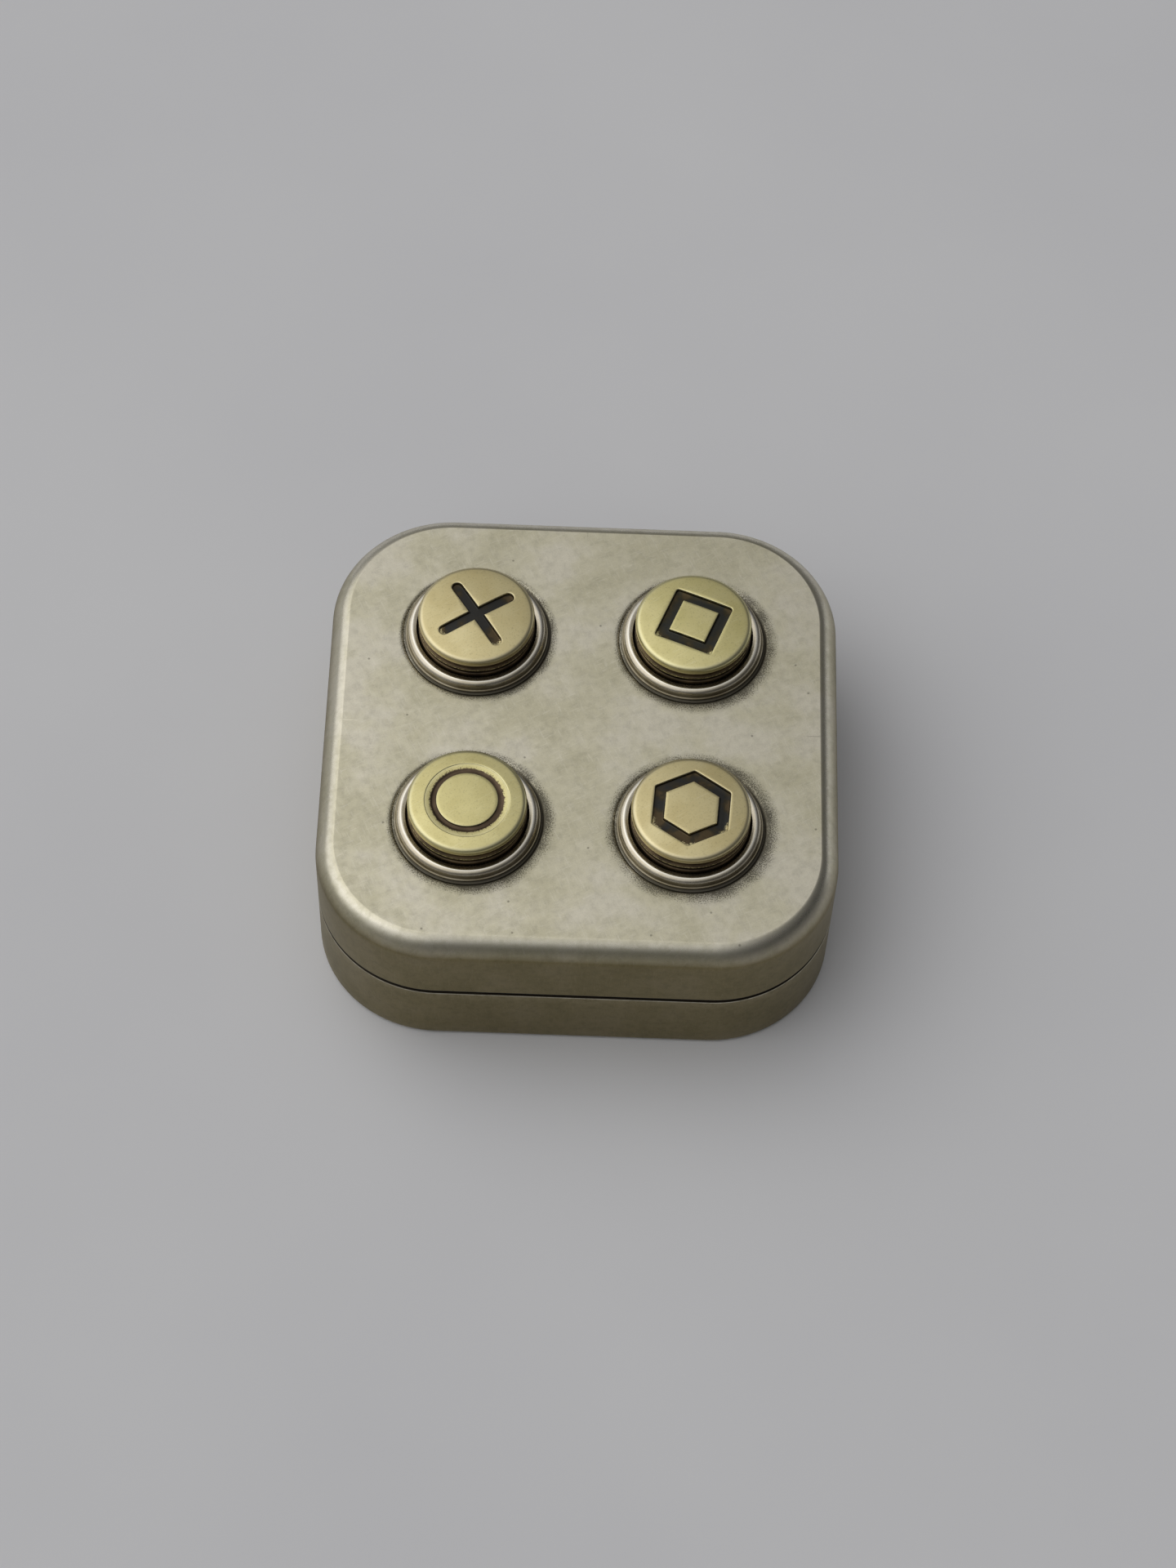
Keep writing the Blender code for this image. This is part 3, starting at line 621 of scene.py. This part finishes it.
def face_rows(kind, angles):
    """(radius for each column, height) rows from the middle of the face outwards, before the turn."""
    top, floor = BUTTON_TOP, BUTTON_TOP - MARK_DEPTH
    rows = []
    if kind == "plus":
        inner = mark_outline(kind, angles, -0.12)
        rows += [(inner * share, floor) for share in (0.0, 0.3, 0.6, 0.85)]
    else:
        island = island_outline(kind, angles, -0.05)
        rows += [(island * share, top) for share in (0.0, 0.35, 0.7, 0.9)]
        for grow, drop in ((-0.05, 0.0), (-0.025, 0.006), (-0.008, 0.022), (0.0, 0.05)):
            rows.append((island_outline(kind, angles, grow), top - drop))
        if kind != "ring":
            for grow, rise in ((0.03, 0.07), (0.05, 0.025), (0.09, 0.0), (0.16, 0.0)):
                rows.append((island_outline(kind, angles, grow), floor + rise))
            wide = island_outline(kind, angles, 0.16)
            far = mark_outline(kind, angles, -0.16)
            rows.append(((wide + far) / 2, floor))
    if kind == "ring":
        # the island's wall is sharp; the outer wall is worn back to a shallow slope with a fine step
        section = [
            (2.36, 0.12), (2.38, 0.15), (2.45, 0.16), (2.6, 0.16), (2.68, 0.15), (2.72, 0.125),
            (2.77, 0.105), (2.84, 0.09), (3.0, 0.07), (3.16, 0.05), (3.21, 0.045), (3.235, 0.015),
            (3.26, 0.003), (3.3, 0.0),
        ]
        rows += [(np.full_like(angles, r), top - drop) for r, drop in section]
    else:
        for grow, rise in ((-0.12, 0.0), (-0.07, 0.012), (-0.045, 0.06)):
            rows.append((mark_outline(kind, angles, grow), floor + rise))
        for grow, drop in ((-0.005, 0.06), (0.005, 0.028), (0.025, 0.008), (0.055, 0.0)):
            rows.append((mark_outline(kind, angles, grow), top - drop))
    edge = rows[-1][0]
    for share in (0.15, 0.5, 0.85):
        rows.append((edge + (SHOULDER - edge) * share, top))
    return rows


print("rows of each face:", {kind: len(face_rows(kind, mark_rays(kind))) for kind in KINDS})


# %% Where a piece is worn
def ramp(value, start, width):
    """(value - start) / width, kept from 0 to 1; a negative width rises below the start."""
    return np.clip((value - start) / width, 0, 1)


def bell(value, middle, width):
    """1 at the middle, falling off as exp(-((value - middle) / width) squared)."""
    return np.exp(-(((value - middle) / width) ** 2))


def wear_map(made, rub_and_highlight, patina_and_shade):
    """Stores two values from 0 to 1 at each point: how much lighter it is, by rubbed wear and painted
    highlights, and how much darker, by patina and painted shade.
    """
    for name, values in (("rub_and_highlight", rub_and_highlight), ("patina_and_shade", patina_and_shade)):
        layer = made.data.attributes.new(name, "FLOAT", "POINT")
        layer.data.foreach_set("value", np.clip(values, 0, 1).astype(np.float32))


def points_mm(made):
    """The points of a mesh as an array of (x, y, z): metres divided by MM."""
    co = np.empty(len(made.data.vertices) * 3, np.float32)
    made.data.vertices.foreach_get("co", co)
    return co.reshape(-1, 3).astype(float) / MM


# %% A whole button
TURN_DEG = {"plus": 33.5, "square": -21.5, "ring": 0.0, "hexagon": -4.0}


def button(kind, metal):
    """The engraved face and the spool on shared columns, turned to the mark's angle, with wear and a
    painted highlight on the rim below the head.
    """
    part = f"button_{kind}"
    centre = middle_mm(part)
    angles = mark_rays(kind)
    turn = math.radians(TURN_DEG[kind])
    radii, heights = zip(*face_rows(kind, angles))
    radii = np.array(radii)
    heights = np.array(heights)[:, None] - CROWN * (radii / SHOULDER) ** 2
    face = round_axis(centre, radii, angles + turn, heights)
    skin = np.concatenate([face, turned(spool_section(), centre, angles + turn)])
    made = piece(f"{part}_turned", [(skin, True, False)], metal, part, part)
    p = points_mm(made)
    z = p[:, 2]
    r = np.hypot(*(p[:, :2] - centre).T)
    depth = BUTTON_TOP - CROWN * (r / SHOULDER) ** 2 - z
    if kind == "ring":
        groove = (r > RING_ISLAND) * ramp(depth, 0.07, 0.05) * (r < 2.8)
        worn = (r > 2.74) * (r < 3.23) * (0.2 + 0.52 * ramp(r, 2.95, -0.2))
        in_mark = np.maximum(groove, worn)
    else:
        front = ramp(p[:, 1], centre[1], -1.0)
        in_mark = (r < 3.6) * ramp(depth, 0.08, 0.12)
        in_mark = in_mark * (1 - 0.6 * front * ramp(r, 2.75, 0.3))
    below = r > 3.5
    under_head = ramp(z, FACE + 2.1, -0.1) * below
    # painted highlight: the patina is taken off the thin rim below the head, so its round edge reads as
    # a light line
    rim_painted_highlight = bell(z, FACE + 1.43, 0.08) * (r > 4.4)
    barrel = ramp(z, FACE + 1.0, -0.1) * below
    head_edge = bell(r, 4.36, 0.12) * (depth < 0.34)
    lip = bell(depth, 0.02, 0.025) * (r < 3.6) * (depth > 0.006)
    wear_map(made, 0.5 * head_edge + 0.9 * lip, in_mark + under_head - 0.6 * rim_painted_highlight - 0.5 * barrel)
    return made


# %% Make the buttons
BRASS = {
    "plus": (warm_brass, "button_brass_warm"), "square": (green_brass, "button_brass_green"),
    "ring": (ring_brass, "button_brass_green"), "hexagon": (warm_brass, "button_brass_warm"),
}
for kind, (metal, slot) in BRASS.items():
    button(kind, metal)

# %% [markdown]
# ## The collars
#
# A collar is a bushing pressed into the roof of the upper half. Only its head shows: a thin foot on the
# face, a small cove, and a rounded ring that is polished by thumbs, with a painted highlight along its
# crest.


# %% Section of a collar
def collar_section():
    """(radius, height), a closed loop: up the outside, over the ring, down the bore and back."""
    foot = [(5.2, FACE - 1.45), (5.2, FACE + 0.03), (5.57, FACE + 0.03), (5.6, FACE + 0.06)]
    foot += [(5.6, FACE + 0.13)]
    foot_edge = arc_profile((5.57, FACE + 0.13), (0.03, 0.04), 0, 80, 3)
    cove = arc_profile((5.53, FACE + 0.24), (0.06, 0.07), 270, 190, 5)
    outer = arc_profile((5.06, FACE + 0.45), (0.4, 0.39), 0, 80, 17)
    top = [(5.06, FACE + 0.85), (4.98, FACE + 0.848), (4.86, FACE + 0.838), (4.78, FACE + 0.82)]
    inner = arc_profile((4.76, FACE + 0.76), (0.06, 0.06), 90, 180, 5)
    bore = [(4.7, FACE + 0.3), (4.7, FACE - 0.4), (4.7, FACE - 1.38), (4.76, FACE - 1.45)]
    return np.concatenate([foot, foot_edge, cove, outer, top, inner, bore])


# %% Make the collars
CREST_HIGHLIGHT_RADIUS = 5.09  # radius of the polished line on top of the ring, painted as a highlight
for kind in KINDS:
    part = f"collar_{kind}"
    middle = middle_mm(part)
    rows = turned(collar_section(), middle, even_angles(128))
    made = piece(f"{part}_polished", [(rows, True, True)], collar_metal, "slider", part)
    p = points_mm(made)
    r = np.hypot(*(p[:, :2] - middle).T)
    wear_map(made, bell(r, CREST_HIGHLIGHT_RADIUS, 0.05) * (p[:, 2] > FACE + 0.6), np.zeros_like(r))

# %% [markdown]
# ## The upper casing
#
# The upper half is a thick plate over a shallow pocket, with a stepped bore for each button. Its top
# face doesn't run smoothly into the rounded edge: the round starts at a slight angle, and that soft
# crease catches the light all the way round.
#
# One quarter of it holds one bore, so a quarter is modelled and mirrored. Rays go out from the bore
# and end on the quarter's border, which is partly the outer outline and partly the two middle lines.
# The rows along those rays are rings near the bore and take the border's shape further out.

# %% The quarter's border
EDGE_RADIUS = 2.0
EDGE_START_DEG = 17.0
CREASE_INSET = EDGE_RADIUS * (1 - math.sin(math.radians(EDGE_START_DEG)))


def quarter_border(inset, straight_steps=22, arc_steps=44, middle_steps=22):
    """The border of the +X +Y quarter, anticlockwise from the +X middle line.

    Straight parts are spaced evenly in angle as seen from the bore; the arc is even along itself.
    """
    reach = HALF - inset
    crease_reach = HALF - CREASE_INSET
    away = crease_reach - BUTTON_OFFSET
    first = np.arctan2(-BUTTON_OFFSET, away)
    last = np.arctan2(HALF - CORNER - BUTTON_OFFSET, away)
    along = BUTTON_OFFSET + away * np.tan(np.linspace(first, last, straight_steps))
    a = np.linspace(0, np.pi / 2, arc_steps + 2)[1:-1]
    arc = HALF - CORNER + (CORNER - inset) * np.stack([np.cos(a), np.sin(a)], axis=-1)
    side = np.stack([np.full_like(along, reach), along], axis=-1)
    outer = np.concatenate([side, arc, side[::-1, ::-1]])
    seen = np.linspace(np.arctan2(away, BUTTON_OFFSET), -np.pi / 4, middle_steps)[1:]
    down = (BUTTON_OFFSET + BUTTON_OFFSET * np.tan(seen)) / crease_reach * reach
    middle_y = np.stack([np.zeros_like(down), down], axis=-1)
    middle_x = middle_y[:-1][::-1, ::-1]
    return outer, np.concatenate([outer, middle_y, middle_x])


def rings_to_border(border, angles, radius, shares, height):
    """Rows between a circle round the bore and the border: (1 - share) x circle + share x border."""
    circle = BUTTON_OFFSET + radius * np.stack([np.cos(angles), np.sin(angles)], axis=-1)
    rows = [circle * (1 - s) + border * s for s in shares]
    return np.stack([np.column_stack([row, np.full(len(row), height)]) for row in rows])


print("points along a quarter's border:", len(quarter_border(0.0)[1]))


# %% One quarter
WALL = 1.5
POCKET_ROOF = FACE - 4.25
ROOF_UNDER = FACE - 1.5
BORE = 5.25
WELL = 5.6
GROOVE_DEPTH = 0.1
bore_ring = partial(round_axis, (BUTTON_OFFSET, BUTTON_OFFSET))


def foot_groove(radius):
    """A shallow turned groove round the collar's foot: minus its depth x a bell about its radius."""
    return -GROOVE_DEPTH * bell(radius, 5.72, 0.13)


def upper_casing_quarter():
    """Three grids: bore edge and face; rounding, wall, seam and pocket wall; pocket roof and well."""
    outer, border = quarter_border(CREASE_INSET)
    angles = np.arctan2(border[:, 1] - BUTTON_OFFSET, border[:, 0] - BUTTON_OFFSET)
    seam = TOP_LOW[2]
    near = [BORE + 0.04, 5.45, 5.56, 5.62, 5.68, 5.74, 5.8, 5.87, 5.95, 6.05, 6.2, 6.5]
    lower = [bore_ring(BORE, angles, ROOF_UNDER + 0.05), bore_ring(BORE, angles, FACE - 0.05)]
    lower += [bore_ring(r, angles, FACE + foot_groove(r)) for r in near]
    plate = rings_to_border(border, angles, 6.5, (0.25, 0.5, 0.75, 0.9, 0.965, 0.99, 1.0), FACE)
    face = np.concatenate([np.stack(lower), plate])

    inset_height = [(CREASE_INSET, FACE)]
    start = math.radians(EDGE_START_DEG)
    for angle in np.linspace(start, math.pi / 2, 18)[1:]:
        drop = EDGE_RADIUS * (math.cos(start) - math.cos(angle))
        inset_height.append((EDGE_RADIUS * (1 - math.sin(angle)), FACE - drop))
    wall_top = FACE - EDGE_RADIUS * math.cos(start)
    inset_height += [(0.0, z) for z in np.linspace(wall_top, seam + 0.19, 7)[1:]]
    inset_height += [
        (0.0, seam + 0.15), (0.0, seam + 0.11), (0.015, seam + 0.07), (0.05, seam + 0.025),
        (0.11, seam), (0.4, seam), (WALL - 0.1, seam), (WALL - 0.03, seam + 0.03),
        (WALL, seam + 0.1), (WALL, POCKET_ROOF - 0.06), (WALL, POCKET_ROOF),
    ]
    band = [np.column_stack([quarter_border(i)[0], np.full(len(outer), z)]) for i, z in inset_height]

    pocket_border = quarter_border(WALL)[1]
    ceiling = rings_to_border(pocket_border, angles, WELL, (1.0, 0.8, 0.4, 0.1, 0.0), POCKET_ROOF)
    well = [bore_ring(WELL, angles, z) for z in (POCKET_ROOF + 0.3, ROOF_UNDER - 0.05, ROOF_UNDER)]
    well += [bore_ring(r, angles, ROOF_UNDER) for r in (BORE + 0.1, BORE)]
    well += [bore_ring(BORE, angles, ROOF_UNDER + 0.05)]
    hidden = np.concatenate([ceiling, np.stack(well)])
    return [(face, True, False), (np.stack(band), False, False), (hidden, True, False)]


# %% Mirror the quarter
def outline_inset(p):
    """How far in from the outline points lie: corner radius less the distance to its centre."""
    q = np.abs(p[:, :2]) - (HALF - CORNER)
    outside = np.hypot(np.maximum(q[:, 0], 0), np.maximum(q[:, 1], 0))
    return CORNER - outside - np.minimum(np.maximum(q[:, 0], q[:, 1]), 0)


quarters = []
for side_x, side_y in ((1, 1), (-1, 1), (-1, -1), (1, -1)):
    for grid, wrap_columns, wrap_rows in upper_casing_quarter():
        quarters.append((grid * np.array([side_x, side_y, 1.0]), wrap_columns, wrap_rows))
upper_casing = piece("upper_casing", quarters, casing_top_metal, "slider", "top_shell")
p = points_mm(upper_casing)
inset = outline_inset(p)
crease_rub = 0.85 * bell(inset, CREASE_INSET - 0.46, 0.32) * (p[:, 2] > FACE - 0.8)
# painted shade: the lower edge of the upper half is darkened along the seam's gap
seam_painted_shade = (p[:, 2] < TOP_LOW[2] + 0.16) * ramp(inset, 1.1, -0.4)
wear_map(upper_casing, crease_rub, seam_painted_shade)

# %% [markdown]
# ## The base casing
#
# The base has the same outline. Its foot is hardly rounded, and the edge at the seam is broken by a
# tenth of a millimetre. A fine bright line is painted on that edge as a highlight, and the dark gap
# above it is painted shade. It is one outline surface: from the middle of the underside, out and up
# the wall, over the rim, down into the pocket and back to the middle.


# %% Build the base casing
DEEPEST = CORNER - 0.5  # further in than this, the outline is scaled down instead of inset


def outline_rows(section):
    """Rows of the rounded square, one for each (inset, height). An inset of None is the middle point."""
    rows = []
    for inset_by, height in section:
        if inset_by is None:
            flat = np.zeros_like(rounded_square(0.0))
        elif inset_by > DEEPEST:
            share = (HALF - inset_by) / (HALF - CORNER + 0.5)
            flat = rounded_square(DEEPEST) * share
        else:
            flat = rounded_square(inset_by)
        rows.append(np.column_stack([flat, np.full(len(flat), height)]))
    return np.stack(rows)


POCKET_FLOOR = box_mm("track_plate")[0][2] - 0.1
FOOT_ROUND = 0.5
base_section = [(None, 0.0), (15.0, 0.0), (9.0, 0.0), (3.0, 0.0), (0.7, 0.0)]
base_section += [
    (FOOT_ROUND * (1 - math.sin(a)), FOOT_ROUND * (1 - math.cos(a)))
    for a in np.linspace(0, math.pi / 2, 9)
]
base_section += [(0.0, z) for z in np.linspace(FOOT_ROUND, RIM - 0.15, 7)[1:]]
base_section += [(0.012, RIM - 0.09), (0.045, RIM - 0.035), (0.1, RIM - 0.004), (0.15, RIM), (0.4, RIM)]
base_section += [(WALL - 0.1, RIM), (WALL - 0.03, RIM - 0.03), (WALL, RIM - 0.1), (WALL, POCKET_FLOOR)]
base_section += [(3.0, POCKET_FLOOR), (9.0, POCKET_FLOOR), (15.0, POCKET_FLOOR), (None, POCKET_FLOOR)]
base_rows = outline_rows(base_section)
base_casing = piece("base_casing", [(base_rows, True, False)], casing_base_metal, "base", "base_shell")
p = points_mm(base_casing)
inset = outline_inset(p)
# painted highlight: the broken edge of the rim is lightened into a fine bright line
rim_painted_highlight = bell(p[:, 2], RIM - 0.09, 0.04) * (inset < 0.3)
foot_edge = bell(p[:, 2], 0.2, 0.2) * (inset < 0.5)
# painted shade: the rim's top and the pocket are darkened, carrying on the seam's dark gap
seam_painted_shade = (p[:, 2] > RIM - 0.05) * (inset > 0.03) * ramp(inset, 1.1, -0.4)
wear_map(base_casing, 0.8 * rim_painted_highlight + 0.3 * foot_edge, seam_painted_shade)

# %% [markdown]
# ## Springs, washers, magnets and screws
#
# These sit inside, and the magnets and screws of the base come into view when the upper half slides.
# A spring is a wire carried along a helix. At each point of the helix two directions square to the
# wire span its round section: one points away from the axis, the other is square to that and the wire.


# %% Materials of the inner parts
def plain_metal(name, light, dark, per_mm, roughness, stretch=(1.0, 1.0, 1.0)):
    """A metal with a directional grain: noise squeezed along one axis tints it and varies its gloss."""
    material, node, shader, in_mm = new_material(name, METAL)
    place = node("Mapping", {0: in_mm, 3: stretch})
    grain = node("TexNoise", {"Vector": place, "Scale": per_mm, "Detail": 4.0, "Roughness": 0.65})
    color = node("ValToRGB", [grain], stops=[(0.35, dark), (0.65, light)])
    low, high = roughness
    rough = node("MapRange", [grain, 0.3, 0.7, low, high])
    surface(node, shader, color, rough, grain, 0.15)
    return material


ground_steel = plain_metal(
    "stainless steel, ground", "#B9B9BA", "#9FA0A2", 2.0, (0.28, 0.4), (0.12, 6.0, 1.0),
)
nickel_plating = plain_metal("nickel plating, bright", "#D8D4CC", "#CBC7BE", 0.8, (0.1, 0.16))
black_screw = plain_metal("black oxide on steel", "#2E2E31", "#222225", 3.0, (0.35, 0.5))
spring_wire = plain_metal("spring wire, drawn", "#A8A8AA", "#8E8E91", 3.0, (0.22, 0.34), (1.0, 1.0, 4.0))


def acetal_plastic():
    """Machined acetal: a milky, slightly waxy white, with faint tool marks."""
    material, node, shader, in_mm = new_material("acetal, natural, machined", {
        "IOR": 1.48, "Subsurface Weight": 0.1, "Subsurface Radius": (0.5 * MM, 0.45 * MM, 0.4 * MM),
    })
    place = node("Mapping", {0: in_mm, 3: (0.3, 8.0, 8.0)})
    marks = node("TexNoise", {"Vector": place, "Scale": 1.5, "Detail": 4.0})
    color = node("ValToRGB", [marks], stops=[(0.35, "#D9D4C6"), (0.65, "#E6E2D6")])
    rough = node("MapRange", [marks, 0.3, 0.7, 0.42, 0.55])
    surface(node, shader, color, rough)
    return material


acetal = acetal_plastic()
print("materials:", len(bpy.data.materials))


# %% Springs
SPRING_LOW = 9.25
GAP = 0.1
WASHER = 0.3
SPRING_HIGH = WELL_ROOF - GAP - WASHER - GAP
WIRE = 0.25
COIL = 2.75
TURNS = 4.5
CLOSED = 0.75  # turns at each end that lie against the next one


def helix(centre, steps=300):
    """Centreline: angle 2 pi x turn, and a height that rises slowly at the ends and evenly between."""
    turn = np.linspace(0, TURNS, steps)
    low, high = SPRING_LOW + WIRE, SPRING_HIGH - WIRE
    end_rise = 2.2 * WIRE * CLOSED
    heights = [low, low + end_rise, high - end_rise, high]
    height = np.interp(turn, [0, CLOSED, TURNS - CLOSED, TURNS], heights)
    angle = 2 * np.pi * turn
    return round_axis(centre, COIL, angle, height), angle


def wire_along(line, angle, radius, points=14):
    """Tube: line + radius (cos t x outward + sin t x binormal), closed by a pole at each end."""
    outward = np.stack([np.cos(angle), np.sin(angle), np.zeros_like(angle)], axis=-1)
    along = np.gradient(line, axis=0)
    along /= np.linalg.norm(along, axis=1, keepdims=True)
    binormal = np.cross(along, outward)
    t = even_angles(points)
    ring = outward[:, None] * np.cos(t)[None, :, None] + binormal[:, None] * np.sin(t)[None, :, None]
    tube = line[:, None] + radius * ring
    ends = [np.repeat(line[k][None, None], points, axis=1) for k in (0, -1)]
    return np.concatenate([ends[0], tube, ends[1]])


# %% Make the springs and washers
for kind in KINDS:
    part = f"washer_{kind}"
    low, high = box_mm(part)
    middle = middle_mm(part)
    line, angle = helix(middle)
    wire = wire_along(line, angle, WIRE)
    coil = piece(f"spring_{kind}_wound", [(wire, True, False)], spring_wire, "slider", f"spring_{kind}")
    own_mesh(coil)
    ring = [
        (1.2, low[2] + 0.03), (1.23, low[2]), (3.22, low[2]), (3.25, low[2] + 0.03),
        (3.25, high[2] - 0.03), (3.22, high[2]), (1.23, high[2]), (1.2, high[2] - 0.03),
    ]
    rows = turned(ring, middle, even_angles(64))
    washer = piece(f"{part}_machined", [(rows, True, True)], acetal, part, part)


# %% Magnets
MAGNET_ROUND = 0.2


def magnet_section(low, high):
    """A disc whose two edges are quarter circles, as plated magnets have."""
    radii = (MAGNET_ROUND, MAGNET_ROUND)
    lower = arc_profile((2.8, low + MAGNET_ROUND), radii, -90, 0, 6)
    upper = arc_profile((2.8, high - MAGNET_ROUND), radii, 0, 90, 6)
    return np.concatenate([[(0.0, low)], lower, upper, [(0.0, high)]])


for half, body in (("base", "base"), ("top", "slider")):
    for number in range(1, 7):
        node_name = f"{half}_magnet_{number}"
        low, high = box_mm(node_name)
        disc = turned(magnet_section(low[2], high[2]), middle_mm(node_name), even_angles(64))
        magnet = piece(f"{node_name}_plated", [(disc, True, False)], nickel_plating, body, node_name)


# %% Screws
THREAD_PITCH = 0.35


def screw_rows(face_height, into, centre):
    """Socket floor, hexagonal wall, head, countersink, threaded shank and tip, from the head inwards.

    The thread is drawn as rings: radius 0.76 + 0.04 cos(2 pi x depth / pitch).
    """
    angles = mark_rays("hexagon")
    socket = polygon_radius(angles, 6, 0.65, 0.04)
    even = np.ones_like(angles)
    rows = [(0.0 * even, 0.6), (socket * 0.9, 0.6), (socket, 0.57), (socket, 0.05), (socket + 0.05, 0.0)]
    rows += [(1.84 * even, 0.0), (1.9 * even, 0.03), (1.9 * even, 0.06), (0.86 * even, 1.1)]
    depth = np.linspace(1.2, 3.8, 60)
    rows += [((0.76 + 0.04 * np.cos(2 * np.pi * d / THREAD_PITCH)) * even, d) for d in depth]
    rows += [(0.6 * even, 4.0), (0.0 * even, 4.0)]
    radii = np.array([r for r, _ in rows])
    heights = np.array([face_height + into * d for _, d in rows])[:, None]
    return round_axis(centre, radii, angles, heights)


for half, body, into in (("base", "base", -1), ("top", "slider", 1)):
    for number in range(1, 5):
        node_name = f"{half}_screw_{number}"
        low, high = box_mm(node_name)
        head_at = high[2] if into < 0 else low[2]
        rows = screw_rows(head_at, into, middle_mm(node_name))
        screw = piece(f"{node_name}_cut", [(rows, True, False)], black_screw, body, node_name)

# %% [markdown]
# ## Plates and rails
#
# The two plates and the rails keep their CAD shape and only get their finish.

# %% Finish the plates and rails
for name, finish in (
    ("track_plate", ground_steel), ("carrier_plate", ground_steel),
    ("guide_rail_rear", acetal), ("guide_rail_front", acetal),
):
    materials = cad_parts[name].data.materials
    materials.clear()
    materials.append(finish)
    print(name, "gets", finish.name)

# %% [markdown]
# ## Floor, light and camera
#
# The floor is a smooth pale board. Metal shows what is round it, so the light is mostly large soft
# surfaces: a room that is bright overhead and to the left and darkens to the right and in front, with a
# soft panel on the left and a small one low on the right. The camera looks down from the front with a
# long lens.


# %% Floor
def painted_board():
    """White paint on a smooth board, with faint smudges some centimetres wide."""
    material, node, shader, in_mm = new_material("painted board, white", {"Roughness": 0.6})
    smudge = node("TexNoise", {"Vector": in_mm, "Scale": 0.02, "Detail": 4.0})
    color = node("ValToRGB", [smudge], stops=[(0.3, "#E0E0E3"), (0.7, "#E6E6E8")])
    shader.id_data.links.new(color, shader.inputs["Base Color"])
    return material


BOARD_SIZE = 2.4
BOARD_POINTS = 9
t = np.linspace(-BOARD_SIZE / 2, BOARD_SIZE / 2, BOARD_POINTS)
x, y = np.meshgrid(t, t)
grid = np.stack([x, y, np.zeros_like(x)], axis=-1)
quads = grid_quads(BOARD_POINTS, BOARD_POINTS, wrap_columns=False)
floor_mesh = bpy.data.meshes.new("floor")
floor_mesh.from_pydata(grid.reshape(-1, 3).tolist(), [], quads.tolist())
floor_mesh.materials.append(painted_board())
floor = new_object("floor", floor_mesh)
print("floor of", BOARD_SIZE, "m")


# %% Light
OBJECT_MIDDLE = Vector((0, 0, 0.01))


def soft_panel(name, place, size, watts, color):
    """A square area light whose -Z axis points along (object - place)."""
    light = bpy.data.lights.new(name, "AREA")
    light.size = size
    light.energy = watts
    light.color = color
    made = new_object(name, light)
    made.location = place
    made.rotation_euler = (OBJECT_MIDDLE - Vector(place)).to_track_quat("-Z", "Y").to_euler()
    print(f"{name}: {watts} W, {size} m wide")


soft_panel("left panel", (-0.6, 0.22, 0.7), 1.2, 1.9, (1.0, 0.99, 0.975))
soft_panel("low right panel", (0.86, 0.5, 0.12), 0.5, 0.26, (0.97, 0.98, 1.0))

# %% The room
BRIGHT_SIDE = (-0.54, 0.07, 0.84)
world = bpy.data.worlds.new("room")
bpy.context.scene.world = world
world.use_nodes = True
direction = add(world, "TexCoord")
bright_side = Vector(BRIGHT_SIDE).normalized()
towards = add(world, "VectorMath DOT_PRODUCT", [direction, bright_side], 1)
share = add(world, "MapRange", [towards, -1.0, 1.0])
levels = add(
    world, "ValToRGB", [share],
    stops=[(0.5, 0.05), (0.72, 0.15), (0.82, 0.4), (0.88, 0.69), (0.93, 0.82), (1.0, 0.87)],
)
height = add(world, "SeparateXYZ", [direction], 2)
towards_floor = add(world, "MapRange", [height, 0.0, 0.8, 0.4, 1.0])
horizon = add(world, "MapRange", [height, 0.0, 0.5, 0.2, 0.0])
room = add(world, "VectorMath MULTIPLY_ADD", [levels, towards_floor, horizon])
world.node_tree.links.new(room, world.node_tree.nodes["Background"].inputs["Color"])
bpy.context.scene.view_settings.view_transform = "Standard"
print("the room is brightest towards", [round(v, 2) for v in bright_side])

# %% Camera
CAMERA_PLACE = (-1.602, -147.472, 247.361)
IMAGE_HEIGHT = 1920
FOCAL = 4364  # in the same units as the image height
SENSOR = 36.0
YAW_PITCH_ROLL_DEG = (-0.900, 31.344, 2.812)
camera_data = bpy.data.cameras.new("camera")
camera_data.sensor_width = SENSOR
camera_data.lens = FOCAL / IMAGE_HEIGHT * SENSOR
camera_data.clip_start = 0.01
camera = new_object("camera", camera_data)
camera.location = Vector(CAMERA_PLACE) * MM
yaw, pitch, roll = (math.radians(a) for a in YAW_PITCH_ROLL_DEG)
turn_matrix = (
    Euler((0, 0, yaw)).to_matrix() @ Euler((pitch, 0, 0)).to_matrix() @ Euler((0, 0, roll)).to_matrix()
)
camera.rotation_euler = turn_matrix.to_euler()
bpy.context.scene.camera = camera
print("lens", round(camera_data.lens, 1), "mm")
